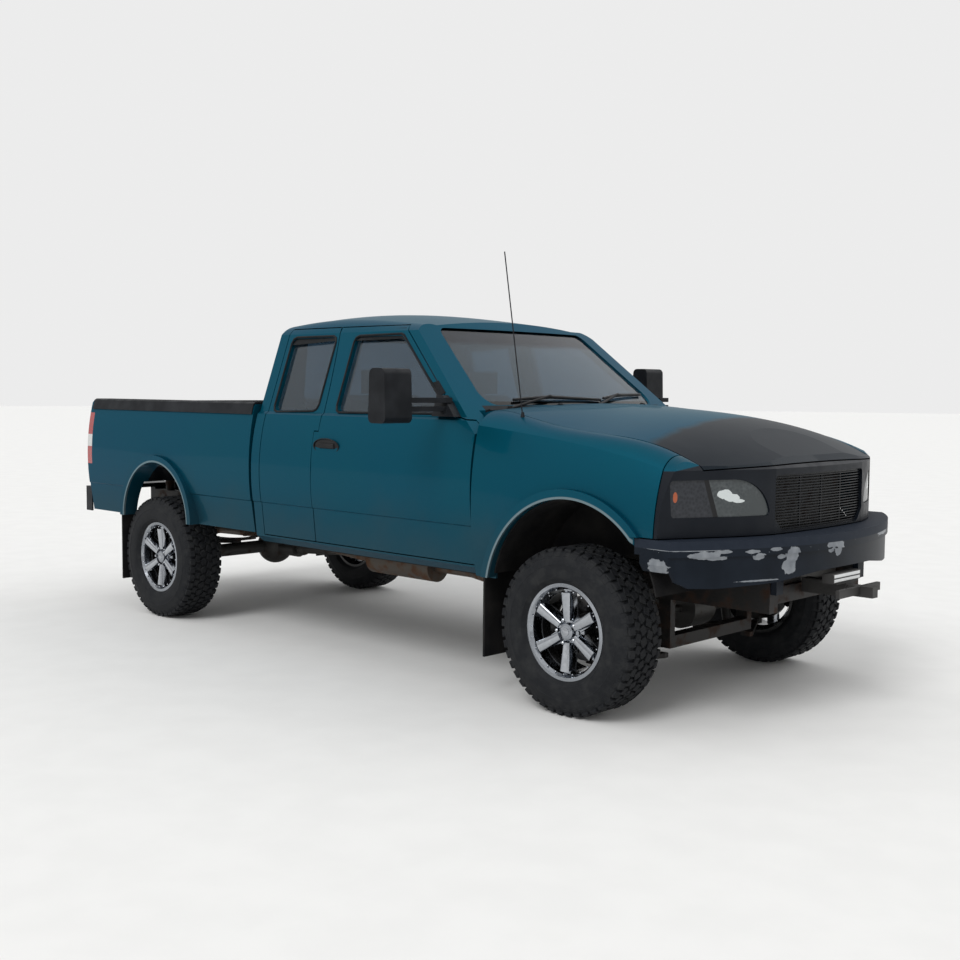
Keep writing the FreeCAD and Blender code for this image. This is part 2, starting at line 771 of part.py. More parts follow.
def make_front():
    """Hood, fenders, nose panel, wheel liners, grille and headlamps."""
    gap = at.seam_gap
    outer = clip_form(0, 0)
    fender_shell = outer.cut(clip_form(at.clip_wall, at.nose_depth))
    hood_shell = outer.cut(clip_form(at.hood_wall, at.hood_wall))

    hood = hood_shell.common(hood_space(0).cut(hood_rear_line()))
    pin_x, pin_z = at.front_axle - at.hood_pin_back, at.hood_pin_height
    for side in (-1, 1):
        low = side * at.hood_pin_half - 10
        eye = Part.makeCylinder(at.hood_eye_radius, 20, Vector(pin_x, low, pin_z), Vector(0, 1, 0))
        tab = slab(pin_x, pin_x + 28, low, low + 20, pin_z - 9, pin_z + 2)
        bore_radius = at.hood_pin_radius + at.running_gap
        bore = Part.makeCylinder(bore_radius, 20, Vector(pin_x, low, pin_z), Vector(0, 1, 0))
        hood = hood.fuse(eye.fuse(tab).cut(bore))

    nose_back = at.front_axle + at.nose_back
    nose_zone = slab(nose_back, 3000, -1100, 1100, at.nose_foot, 2000)
    nose = fender_shell.common(nose_zone.cut(hood_space(gap)))
    lamp = [
        (900, 977), (468, 976), (451, 983, VIA), (447, 1000), (480, 1068, VIA), (560, 1128),
        (604, 1140, VIA), (650, 1143), (905, 1142), (920, 1137, VIA), (926, 1120), (919, 995),
        (913, 982, VIA),
    ]
    grille = [
        (at.grille_half, at.grille_head),
        (at.grille_half, at.grille_foot + at.grille_corner),
        (at.grille_half - at.grille_corner, at.grille_foot),
    ]
    grille = grille + [(-y, z) for y, z in reversed(grille)]
    grille_hole = prism(rounded(grille, 24), "YZ", nose_back, 3000)
    lamp_holes = [prism(lamp, "YZ", nose_back, 3000)]
    lamp_holes.append(flip(lamp_holes[0]))
    nose = nose.cut(grille_hole).cut(lamp_holes[0]).cut(lamp_holes[1])

    # headlamps fill their openings, a little behind the face
    lamp_layer = clip_form(6, 8).cut(clip_form(6, at.nose_depth - 4))
    lamp_shape = lamp_layer.common(grown_prism(lamp, "YZ", nose_back, 3000, -at.seat_gap))
    lamps = Part.makeCompound([single(lamp_shape), single(flip(lamp_shape))])

    # bars between two uprights, inside a rim
    bar_back = nose_block(12, 0, 2000).cut(slab(-3100, 1500, -1300, 1300, 0, 2000))
    bar_front = bar_back.cut(bar_back.translated(Vector(-at.bar_depth, 0, 0)))
    rim_face = grown(rounded(grille, 24), "YZ", -at.seat_gap)
    rim_hole = grown(rounded(grille, 24), "YZ", -at.grille_rim)
    rim = rim_face.cut(rim_hole).extrude(Vector(3000, 0, 0))
    rim = rim.common(bar_back.cut(bar_back.translated(Vector(-at.bar_depth * 2, 0, 0))))
    pitch = (at.grille_head - at.grille_foot) / (at.grille_bars + 1)
    field = grown(rounded(grille, 24), "YZ", -at.grille_rim / 2).extrude(Vector(3000, 0, 0))
    bars = []
    for number in range(1, int(at.grille_bars) + 1):
        foot = at.grille_foot + number * pitch - at.bar_height / 2
        bars.append(slab(1500, 3000, -500, 500, foot, foot + at.bar_height))
    for place in (-190, 0, 190):
        bars.append(slab(1500, 2990, place - 4, place + 4, 0, 2000).common(
            bar_back.translated(Vector(-6, 0, 0))))
    grille_shape = rim.multiFuse([bar_front.common(bar).common(field) for bar in bars])

    # fenders
    sides = fender_shell.cut(hood_plan(gap, 0, 2000))
    sides = sides.cut(slab(nose_back - gap, 3000, -1100, 1100, 0, 3000))
    sides = sides.cut(slab(0, at.seam_place + gap / 2, -1100, 1100, 0, 3000))
    right = [piece for piece in sides.Solids if piece.CenterOfMass.y < 0][0]
    wheel_hole = Part.makeCylinder(
        at.arch_radius, 500, Vector(at.arch_place, -1100, at.arch_height), Vector(0, 1, 0))
    right = right.cut(wheel_hole)
    right = right.cut(slab(at.arch_place, 3000, -1100, 0, 0, at.nose_foot - 190))
    bumper_back = at.front_axle + at.bumper_reach + 12 - at.pad_depth - gap
    behind_bumper = bow_block(bumper_back, at.bumper_bow, at.bumper_half, 0, 0, at.nose_foot, 0, 1100)
    bumper_space = slab(at.arch_place, 3000, -1100, 0, 0, at.nose_foot).cut(behind_bumper)
    right = right.cut(bumper_space)
    lip = arch_ring(at.arch_radius, at.arch_radius + at.flare_width, -at.flare_half, -940)
    lip = lip.common(slab(0, 3000, -1100, 0, at.sill_height + 10, 2000))
    lip = lip.common(slab(0, nose_back - gap, -1100, 0, 0, 2000))
    lip = lip.cut(clip_form(at.clip_wall / 2, at.nose_depth)).cut(bumper_space)
    right = right.fuse(lip)
    fender = max(right.Solids, key=lambda piece: piece.Volume)

    # inner wheelhouse above each front wheel
    liner_outer = at.arch_radius - at.liner_gap
    liner = arch_ring(liner_outer - at.liner_wall, liner_outer, -at.edge_half - 20, -at.liner_half)
    liner = liner.common(slab(0, 3000, -1100, 0, at.sill_height + 30, 2000))
    liner_wall = Part.makeCylinder(
        liner_outer, at.liner_wall, Vector(at.arch_place, -at.liner_half - at.liner_wall, at.arch_height),
        Vector(0, 1, 0)).common(slab(0, 3000, -1100, 0, 720, 2000))
    liner = liner.fuse(liner_wall)
    liners = Part.makeCompound([single(liner), single(flip(liner))])

    sub_part(solid("hood_form", single(hood)), "hood")
    sub_part(solid("nose_form", single(nose)), "nose_panel")
    sub_part(solid("fender_right_form", fender), "fender_right")
    sub_part(solid("fender_left_form", flip(fender)), "fender_left")
    sub_part(solid("liner_form", liners), "wheel_liners")
    sub_part(solid("headlamp_form", lamps), "headlamps")
    sub_part(solid("grille_form", single(grille_shape)), "grille")


# Cargo box

def box_section(front, back):
    """The box's open section run along the truck: two double walls and a floor."""
    low_floor = at.box_floor - at.box_floor_thickness
    half = [
        (0, low_floor),
        (at.edge_half - at.box_skin - 25, low_floor),
        (at.edge_half - at.box_skin - 12, at.box_foot),
        (at.edge_half - 6, at.box_foot),
        (at.crease_half, at.crease_height),
        (at.crease_half + at.crease_step, at.crease_height + at.crease_step),
        (at.crown_half, at.crown_height, VIA),
        (at.box_rail_half, at.box_rail_height - 14),
        (at.box_rail_half - 12, at.box_rail_height),
        (at.box_rail_inner, at.box_rail_height),
        (at.box_rail_inner, at.box_rail_height - 45),
        (at.box_wall_inner, at.box_rail_height - 60),
        (at.box_wall_inner, at.box_floor),
        (0, at.box_floor),
    ]
    return prism(mirrored(half), "YZ", back, front)


def make_box():
    """Cargo box with its wheelhouses and flares, tailgate, rail caps and tail lamps."""
    front, back = at.box_head_place, at.box_tail_place
    form = box_section(front, back)
    head = slab(front - at.headboard, front, -at.box_wall_inner, at.box_wall_inner,
                at.box_floor - 10, at.box_rail_height)
    form = form.fuse(head)
    sides = []
    for side in (-1, 1):
        house = Part.makeCylinder(
            at.box_arch_radius + at.wheelhouse_wall, at.box_wall_inner - at.wheelhouse_inner + 20,
            Vector(at.box_arch_place, side * at.wheelhouse_inner, at.box_arch_height), Vector(0, side, 0))
        sides.append(house.common(slab(-3000, 3000, -1100, 1100, at.box_floor - 20, 2000)))
        lip = Part.makeCylinder(
            at.box_arch_radius + at.flare_width, at.flare_half - 925,
            Vector(at.box_arch_place, side * 925, at.box_arch_height), Vector(0, side, 0))
        sides.append(lip.common(slab(-3000, 3000, -1100, 1100, at.box_foot, 2000)))
    form = form.multiFuse(sides)
    for side in (-1, 1):
        hole = Part.makeCylinder(
            at.box_arch_radius, 500,
            Vector(at.box_arch_place, side * (at.wheelhouse_inner + at.wheelhouse_wall), at.box_arch_height),
            Vector(0, side, 0))
        form = form.cut(hole)
    gate_half = at.box_wall_inner + at.seam_gap
    gate_end = back + at.tailgate_thickness + at.seam_gap + 2
    gate_space = slab(back - 50, gate_end, -gate_half, gate_half, 500, 2000)
    form = form.cut(gate_space)
    lamp_zone = slab(back - 50, back + at.tail_lamp_depth, at.tail_lamp_inner, 1100,
                     at.tail_lamp_foot, at.tail_lamp_head)
    lamp = form.common(slab(back - 50, back + at.tail_lamp_depth - at.seat_gap,
                            at.tail_lamp_inner + at.seat_gap, 1100,
                            at.tail_lamp_foot + at.seat_gap, at.tail_lamp_head - at.seat_gap))
    form = form.cut(lamp_zone).cut(flip(lamp_zone))
    lamps = Part.makeCompound([single(lamp), single(flip(lamp))])

    gate_foot = at.box_floor - at.tailgate_thickness - 8
    gate = [
        (back, gate_foot + 6),
        (back, at.box_rail_height - 70),
        (back - 8, at.box_rail_height - 52),
        (back, at.box_rail_height - 8),
        (back + 8, at.box_rail_height),
        (back + at.tailgate_thickness, at.box_rail_height),
        (back + at.tailgate_thickness, gate_foot + 6),
        (back + at.tailgate_thickness - 12, gate_foot),
        (back + 6, gate_foot),
    ]
    gate_shape = prism(gate, "XZ", -at.box_wall_inner, at.box_wall_inner)
    recess = slab(back - 20, back + 7, -760, 760, gate_foot + 70, at.box_rail_height - 110)
    handle = slab(back - 20, back + 28, -95, 95, at.box_rail_height - 150, at.box_rail_height - 80)
    gate_shape = gate_shape.cut(recess).cut(handle)

    cap_points = [
        (at.box_rail_half - 8, at.box_rail_height + 0.3),
        (at.box_rail_half + 0.4, at.box_rail_height - 13.8),
        (at.box_rail_half + 15, at.box_rail_height - 60),
        (at.box_rail_half + 19, at.box_rail_height - 60),
        (at.box_rail_half + 2, at.box_rail_height + 4),
        (at.box_rail_half - 14, at.box_rail_height + at.cap_height),
        (at.box_rail_inner + 6, at.box_rail_height + at.cap_height),
        (at.box_rail_inner, at.box_rail_height + 0.3),
    ]
    cap = prism(cap_points, "YZ", back + 30, front - 8)
    caps = Part.makeCompound([cap, flip(cap)])

    sub_part(solid("cargo_box_form", single(form)), "cargo_box")
    sub_part(solid("tailgate_form", single(gate_shape)), "tailgate")
    sub_part(solid("rail_cap_form", caps), "bed_rail_caps")
    sub_part(solid("tail_lamp_form", lamps), "tail_lamps")


# Bumpers

def make_bumpers():
    """Front bumper, rear step bumper with its ball and plate holes, and the front receiver."""
    reach = at.front_axle + at.bumper_reach
    wall = at.bumper_wall

    def band(start, depth, low, high):
        block_front = bow_block(start, at.bumper_bow, at.bumper_half, 0, low, high, 0, at.bumper_half + 60)
        return block_front.cut(block_front.translated(Vector(-depth, 0, 0)))

    foot, head = at.bumper_foot, at.bumper_head
    wide = slab(0, 3000, -at.bumper_half, at.bumper_half, 0, 2000)
    inside = slab(0, 3000, wall - at.bumper_half, at.bumper_half - wall, 0, 2000)
    hollow = band(reach - wall, 400, foot - 1, head - wall).common(inside)
    face = band(reach, at.bumper_depth, foot, head).cut(hollow)
    pad = band(reach + 12, at.pad_depth, head - 62, head + 8)
    pad = pad.cut(band(reach - wall, 400, 0, head - wall).common(inside))
    edge, top = at.bumper_half + 10, head + 20
    rise = [
        (-edge, 800), (-955, 705), (-905, 678), (-800, 673), (-520, 686), (-250, 718), (0, 723, VIA),
        (250, 718), (520, 686), (800, 673), (905, 678), (955, 705), (edge, 800), (edge, top), (-edge, top),
    ]
    profile = prism(rise, "YZ", 1500, 3000)
    bumper = face.fuse(pad).common(wide).common(profile)
    horns = []
    for side in (-1, 1):
        low = side * 388 - 30
        horns.append(slab(at.front_axle + 770.3, at.front_axle + 800, low, low + 60, 610, 765))
        horns.append(slab(at.front_axle + 770.3, reach - 55, low, low + 60, 715, 765))
    bumper = bumper.multiFuse(horns)
    bumper = max(bumper.Solids, key=lambda piece: piece.Volume)

    back = at.tail_end
    rear_foot, rear_head = at.rear_bumper_foot, at.rear_bumper_head
    outer = bow_block(-back, at.rear_bumper_bow, at.rear_bumper_half, -back - at.rear_bumper_depth,
                      rear_foot, rear_head)
    outer = outer.mirror(Vector(), Vector(1, 0, 0))
    step = slab(back - 50, back + 100, -260, 260, rear_head - 22, rear_head + 20)
    hollow = slab(back + 10, back + at.rear_bumper_depth + 10, -at.rear_bumper_half + 10,
                  at.rear_bumper_half - 10, rear_foot - 10, rear_head - 30)
    hollow = hollow.cut(bow_block(-back - 8, at.rear_bumper_bow, at.rear_bumper_half, -3000, 0, 2000, 0, 1100)
                        .mirror(Vector(), Vector(1, 0, 0)).cut(slab(back - 10, 0, -1100, 1100, 0, 2000)))
    rear = outer.cut(step).cut(hollow)
    ball_hole = Part.makeCylinder(at.ball_hole_radius, 200, Vector(back + 60, 0, rear_head - 120))
    rear = rear.cut(ball_hole)
    for side in (-1, 1):
        hole = Part.makeCylinder(at.plate_hole_radius, 60,
                                 Vector(back - 20, side * at.plate_spacing / 2, 700), Vector(1, 0, 0))
        rear = rear.cut(hole)
    arms = []
    for side in (-1, 1):
        arms.append(slab(back + 100, back + 159.7, side * 388 - 36, side * 388 + 36, 650, rear_head - 20))
    rear = rear.multiFuse(arms)

    sub_part(solid("front_bumper_form", single(bumper)), "front_bumper")
    sub_part(solid("rear_bumper_form", single(rear)), "rear_bumper")


# Frame

def make_frame():
    """Two kicked-up rails joined by cross members, with the body mounts on top."""
    low, high, kick = at.rail_foot, at.rail_head, at.kick_up
    side = [
        (at.tail_end + 160, low + kick), (at.rear_axle - 620, low + kick),
        (at.rear_axle - 300, low + kick + 20),
        (at.rear_axle + 420, low + kick + 20), (at.rear_axle + 760, low), (at.front_axle - 620, low),
        (at.front_axle - 420, low + 20), (at.front_axle + 770, low + 20), (at.front_axle + 770, high + 60),
        (at.front_axle - 420, high + 60), (at.front_axle - 620, high), (at.rear_axle + 780, high),
        (at.rear_axle + 440, high + kick), (at.rear_axle - 300, high + kick),
        (at.tail_end + 160, high + kick),
    ]
    rails = []
    for place in (at.rail_inner, -at.rail_outer):
        rails.append(solid("rail", prism(side, "XZ", place, place + at.rail_width)))
    # x place and lowest level of each cross member
    crosses = [
        ("tail_cross", "tail_end + 170", "rail_foot + kick_up + 20"),
        ("spring_cross", "rear_axle - 560", "rail_foot + kick_up + 20"),
        ("axle_cross", "rear_axle + 260", "rail_foot + kick_up + 40"),
        ("cab_cross", "rear_axle + 900", "rail_foot + 40"),
        ("gearbox_cross", "front_axle - 960", "rail_foot + 10"),
        ("engine_cross", "front_axle - 230", "rail_foot + 30"),
        ("front_cross", "front_axle + 130", "rail_foot + 30"),
        ("nose_cross", "front_axle + 630", "rail_foot + 40"),
    ]
    members = list(rails)
    for name, place, level in crosses:
        members.append(block(name, place, "0 - rail_inner - 10", level, "cross_depth", "2 * rail_inner + 20",
                             "rail_depth - 50"))
    # cradle that hangs below the rails and carries the lower arms
    for name, place in (("cradle_back", "front_axle - 190"), ("cradle_front", "front_axle + 120")):
        members.append(block(name, place, "0 - rail_inner - 20", "265", "70", "2 * rail_inner + 40", "60"))
        for tail, side_place in (("r", "0 - rail_inner - 20"), ("l", "rail_inner - 20")):
            leg = block(f"{name}_leg_{tail}", place, side_place, "265", "70", "40", "rail_foot - 230")
            members.append(leg)
    # pads that carry the cab and the box: place, rail level, height
    pad_tall = "floor_height - floor_thickness - rail_head + 9.7"
    pads = [
        ("cab_pad_front", "seam_place - 160", "rail_head - 10", pad_tall),
        ("cab_pad_back", "cab_rear + 120", "rail_head - 10", pad_tall),
        ("box_pad_front", "rear_axle + 640", "rail_head - 20",
         "box_floor - box_floor_thickness - rail_head + 19.7"),
        ("box_pad_back", "rear_axle - 760", "rail_head + kick_up - 10",
         "box_floor - box_floor_thickness - rail_head - kick_up + 9.7"),
    ]
    sides = (("r", "0 - rail_inner - rail_width / 2"), ("l", "rail_inner + rail_width / 2"))
    for name, place, level, height in pads:
        for tail, side_place in sides:
            members.append(rod(f"{name}_{tail}", "mount_radius", height, place, side_place, level, "Z"))
    sub_part(fuse("frame_form", members), "frame")


# Wheels

# which wheel, its axle, its side of the truck
WHEELS = [
    ("front_right", "front_axle", -1),
    ("front_left", "front_axle", 1),
    ("rear_right", "rear_axle", -1),
    ("rear_left", "rear_axle", 1),
]


def spin_profile(points):
    """A half profile of radius and distance outboard, turned about the wheel's axle."""
    face = Part.Face(Part.Wire([edge for edge in path(list(points) + [points[0]], "YZ", 0)]))
    return face.revolve(Vector(), Vector(0, 1, 0), 360)


def tyre_shape():
    """The tyre's section: bead, bulged sidewall, shoulder and crown."""
    half, outer, bead = at.tyre_width / 2, at.tyre_radius, at.rim_radius + at.rim_gap
    lip = at.rim_radius + at.rim_lip
    side = [
        (half - 30.3, bead), (half - 30.3, lip + 1), (half - 14, lip + 12), (half + 2, bead + 78, VIA),
        (half - 14, outer - 30), (half - 18, outer - 9), (half - 34, outer - 2),
    ]
    other = [(-point[0],) + point[1:] for point in reversed(side)]
    profile = side + [(0, outer, VIA)] + other
    return spin_profile(profile)


def rim_shape(bore_depth):
    """A cast rim: barrel, recessed face of tapered spokes, hub, nuts and brake rotor."""
    half = at.tyre_width / 2
    radius, wall, lip = at.rim_radius, at.rim_wall, at.rim_lip
    barrel = [
        (-half + 30, radius), (half - 30, radius), (half - 30, radius + lip),
        (half - 22, radius + lip), (half - 20, radius - 2), (half - 36, radius - wall - 4),
        (half - 90, radius - 24), (-half + 60, radius - 24), (-half + 38, radius - wall - 2),
        (-half + 22, radius - 2), (-half + 22, radius + lip), (-half + 30, radius + lip),
    ]
    body = spin_profile(barrel)
    face = half - 46
    hub = [
        (20, 0.01), (20, at.hub_radius), (face - 34, at.hub_radius), (face - 16, at.hub_radius - 14),
        (face - 16, at.cap_radius), (face + 6, at.cap_radius - 4), (face + 10, at.cap_radius - 14),
        (face + 10, 0.01),
    ]
    body = body.fuse(spin_profile(hub))
    spokes = []
    for number in range(int(at.spoke_count)):
        root, tip = at.spoke_root / 2, at.spoke_tip / 2
        start, end = at.hub_radius - 16, radius - 14
        spoke = [(-root, start), (-tip, end), (tip, end), (root, start)]
        front = prism(spoke, "XZ", face - 62, face - 8)
        trim = [(face - 70, start - 4), (face - 14, start - 4), (face - 18, 120), (face - 6, end + 2),
                (face - 42, end + 2), (face - 50, 120)]
        front = front.common(prism(trim, "YZ", -100, 100))
        front.rotate(Vector(), Vector(0, 1, 0), number * 360 / at.spoke_count)
        spokes.append(front)
    body = body.multiFuse(spokes)
    nuts = []
    for number in range(5):
        angle = math.radians(18 + number * 72)
        place = Vector(57 * math.sin(angle), face - 30, 57 * math.cos(angle))
        nuts.append(Part.makeCylinder(10, 22, place, Vector(0, 1, 0)))
    body = body.multiFuse(nuts)
    rotor = [
        (-58, 62), (-58, at.rotor_radius), (-58 + at.rotor_thickness, at.rotor_radius),
        (-58 + at.rotor_thickness, at.hub_radius - 6), (25, at.hub_radius - 6), (25, 62),
    ]
    body = body.fuse(spin_profile(rotor))
    bore_radius = at.spindle_radius + at.running_gap
    bore = Part.makeCylinder(bore_radius, bore_depth + 100, Vector(0, -100, 0), Vector(0, 1, 0))
    return body.cut(bore)


def make_wheels():
    """Four tyres and four rims; the left ones are mirror images of the right ones."""
    tyre = tyre_shape()
    rim = single(rim_shape(44))
    for name, axle, side in WHEELS:
        for node, shape in (("tyre", tyre), ("rim", rim)):
            piece = shape if side > 0 else shape.mirror(Vector(), Vector(0, 1, 0))
            item = solid(f"{node}_{name}_form", piece)
            put(item, axle, f"{side} * track_half", "tyre_radius")
            sub_part(item, f"{node}_{name}")


def make_steering_and_axles():
    """Knuckles, front arms, rear axle and springs, shafts and the plain engine block."""
    axle, level = at.front_axle, at.tyre_radius
    pin, spindle = at.kingpin_half, at.spindle_radius
    # right knuckle, drawn on the positive side and flipped
    arm = [
        (pin - 30, level + 140), (pin + 30, level + 140), (pin + 38, level + 60),
        (pin + 38, level - 60), (pin + 30, level - 150), (pin - 30, level - 150),
        (pin - 30, level - 116), (pin + 6, level - 70), (pin + 22, level - 30), (pin + 22, level + 30),
        (pin + 6, level + 66), (pin - 30, level + 106),
    ]
    plate = prism(arm, "YZ", axle - 30, axle + 30)
    disc = Part.makeCylinder(52, 24, Vector(axle, pin + 30, level), Vector(0, 1, 0))
    stub_length = at.track_half + 38 - pin - 30
    stub = Part.makeCylinder(spindle, stub_length, Vector(axle, pin + 30, level), Vector(0, 1, 0))
    knuckle = plate.fuse(disc).fuse(stub)
    bore = Part.makeCylinder(10 + at.running_gap, 400, Vector(axle, pin, level - 200))
    knuckle = knuckle.cut(bore)
    sub_part(solid("knuckle_left_form", single(knuckle)), "knuckle_left")
    sub_part(solid("knuckle_right_form", single(flip(knuckle))), "knuckle_right")

    # arms: outline in plan, mirrored to the other side
    def wishbone(spread, inner, height, thick):
        outline = [
            (axle - 20, pin + 20), (axle - 20, pin - 24), (axle - spread - 28, inner + 30),
            (axle - spread - 28, inner),
            (axle - spread + 28, inner), (axle - spread + 28, inner + 40), (axle, pin - 110),
            (axle + spread - 28, inner + 40), (axle + spread - 28, inner), (axle + spread + 28, inner),
            (axle + spread + 28, inner + 30), (axle + 20, pin - 24), (axle + 20, pin + 20),
        ]
        return prism(outline, "XY", height, height + thick)

    lower = wishbone(155, at.rail_inner + 20.3, level - 150 - 5 - 24, 24)
    upper = wishbone(120, at.rail_outer + 0.3, level + 140 + 5, 24)
    low_pin = Part.makeCylinder(10, 60, Vector(axle, pin, level - 180))
    high_pin = Part.makeCylinder(10, 60, Vector(axle, pin, level + 108))
    strut = round_bar(26, (axle - 75, pin - 190, level - 160), (axle - 75, pin - 293, level + 240))
    side = lower.multiFuse([low_pin, strut])
    top = upper.fuse(high_pin)
    pieces = [single(side), single(top), single(flip(side)), single(flip(top))]
    sub_part(solid("front_arm_form", Part.makeCompound(pieces)), "front_suspension")

    # front drive: housing between the rails and two half shafts that end in balls
    housing = rod("front_drive_housing", "105", "190", "front_axle", "0 - 30", "tyre_radius", "Y")
    nose = rod("front_drive_nose", "52", "230", "front_axle - 260", "65", "tyre_radius", "X")
    reach = "0 - kingpin_half"
    shafts = rod("half_shafts", "20", "2 * kingpin_half", "front_axle", reach, "tyre_radius", "Y")
    balls = [ball(f"joint_ball_{tail}", "21", "front_axle", place, "tyre_radius")
             for tail, place in (("r", "0 - kingpin_half"), ("l", "kingpin_half"))]
    boots = [rod(f"boot_{tail}", "46", "70", "front_axle", place, "tyre_radius", "Y")
             for tail, place in (("r", "0 - 330"), ("l", "260"))]
    bridge = block("front_drive_bridge", "front_axle - 170", "0 - 30", "tyre_radius + 90", "230", "110",
                   "rail_foot - tyre_radius - 60.3")
    sub_part(fuse("front_drive_form", [housing, nose, shafts, bridge] + balls + boots), "front_drive")

    # rear axle: tube, banjo housing, flanges and stub ends inside the hubs
    reach = "0 - track_half + 65"
    tube = rod("axle_tube", "44", "2 * track_half - 130", "rear_axle", reach, "tyre_radius", "Y")
    stubs = rod("axle_stubs", "spindle_radius", "2 * track_half + 60", "rear_axle", "0 - track_half - 30",
                "tyre_radius", "Y")
    bulb = ball("axle_housing", "128", "rear_axle", "0", "tyre_radius")
    snout = rod("axle_snout", "60", "220", "rear_axle + 60", "0", "tyre_radius", "X")
    seats = [block(f"spring_seat_{tail}", "rear_axle - 60", place, "tyre_radius", "120", "70", "60")
             for tail, place in (("r", "0 - 575"), ("l", "505"))]
    sub_part(fuse("rear_axle_form", [tube, stubs, bulb, snout] + seats), "rear_axle")

    # rear springs: arched leaves with eyes, plus dampers
    back = at.rear_axle
    seat = level + 60 + 0.3
    leaves = []
    for number, (reach, sag) in enumerate(((660, 84), (470, 44), (300, 18))):
        low = seat + 33 - number * 11
        leaf = [
            (back - reach, low + sag), (back, low, VIA), (back + reach, low + sag),
            (back + reach, low + sag + 10.5), (back, low + 10.5, VIA), (back - reach, low + sag + 10.5),
        ]
        leaves.append(prism(leaf, "XZ", 507, 573))
    clamp = slab(back - 50, back + 50, 507, 573, seat, seat + 46)
    eye_places = [Vector(back + end * 660, 507, seat + 33 + 84) for end in (-1, 1)]
    eyes = [Part.makeCylinder(24, 66, place, Vector(0, 1, 0)) for place in eye_places]
    hangers = []
    for end, top in ((-1, at.rail_foot + at.kick_up + 80), (1, at.rail_foot + 120)):
        hangers.append(slab(back + end * 660 - 26, back + end * 660 + 26, at.rail_outer + 0.3, 510,
                            seat + 33 + 84 - 24, max(top, seat + 33 + 84 + 24)))
    spring = leaves[0].multiFuse(leaves[1:] + [clamp] + eyes + hangers)
    both = Part.makeCompound([single(spring), single(flip(spring))])
    sub_part(solid("rear_spring_form", both), "rear_springs")

    # engine, gearbox and transfer case as plain blocks; exhaust, shafts and tank
    engine = block("engine_block", "front_axle - 330", "0 - 290", "rail_head + 20", "700", "580", "480")
    sump = block("engine_sump", "front_axle - 330", "0 - 150", "rail_foot + 110.3", "340", "300", "160")
    gearbox = rod("gearbox", "gearbox_radius", "700", "front_axle - 1000", "0", "rail_head + 80", "X")
    transfer = block("transfer_case", "front_axle - 1290", "0 - 100", "rail_foot - 70", "330", "330", "210")
    bell = block("gearbox_foot", "front_axle - 950", "0 - 60", "rail_foot + 90.3", "60", "120", "60")
    sub_part(fuse("engine_form", [engine, sump, gearbox, transfer, bell]), "powertrain")

    # propeller shafts, exhaust and tank
    rear_shaft = link("rear_shaft", "38", (at.front_axle - 1295, 0, at.rail_foot + 40),
                      (at.rear_axle + 284, 0, level + 4))
    front_shaft = link("front_shaft", "26", (at.front_axle - 956.5, 120, at.rail_foot - 30),
                       (at.front_axle - 264, 65, level + 4))
    joints = [
        ball("rear_shaft_joint", "48", "front_axle - 1338.3", "0", "rail_foot + 40"),
        ball("rear_shaft_tail", "48", "rear_axle + 328.3", "0", "tyre_radius + 4"),
    ]
    sub_part(fuse("shaft_form", [rear_shaft, front_shaft] + joints), "drive_shafts")

    pipe_level = at.rail_foot - 35
    route = [
        (at.front_axle - 500, -300, pipe_level), (at.front_axle - 1150, -300, pipe_level),
        (at.front_axle - 1300, -240, pipe_level), (at.front_axle - 2300, -240, pipe_level),
    ]
    pipe = [link(f"pipe_{number}", "28", route[number], route[number + 1]) for number in range(3)]
    bends = [ball(f"bend_{number}", "28", *[str(part) for part in route[number]]) for number in (1, 2)]
    muffler = rod("muffler", "88", "560", "front_axle - 2150", "0 - 240", "rail_foot - 35", "X")
    tail = [
        (at.front_axle - 2300, -240, pipe_level), (at.rear_axle + 420, -240, pipe_level + 55),
        (at.rear_axle - 330, -240, pipe_level + 35), (at.rear_axle - 600, -600, pipe_level + 5),
        (at.rear_axle - 640, -740, pipe_level - 5),
    ]
    tails = [link(f"tail_{number}", "26", tail[number], tail[number + 1]) for number in range(4)]
    tail_bends = []
    for number in (1, 2, 3):
        tail_bends.append(ball(f"tail_bend_{number}", "26", *[str(part) for part in tail[number]]))
    side_place = "0 - rail_inner + 0.3"
    hangers = [
        block("hanger_front", "front_axle - 1120", side_place, "rail_foot - 30", "20", "60", "80"),
        block("hanger_back", "rear_axle + 100", side_place, "rail_foot", "20", "120", "24"),
        block("hanger_post", "rear_axle + 100", side_place, "rail_foot", "20", "20", "190"),
    ]
    sub_part(fuse("exhaust_form", pipe + bends + [muffler] + tails + tail_bends + hangers), "exhaust")

    tank = block("tank_body", "front_axle - 2180", "rail_outer + 8", "rail_foot - 50", "900", "270", "190")
    straps = [block(f"tank_strap_{number}", place, "rail_outer + 0.3", "rail_foot - 54", "40", "282", "198")
              for number, place in enumerate(("front_axle - 2060", "front_axle - 1480"))]
    sub_part(fuse("tank_form", [tank] + straps), "fuel_tank")


# Cabin

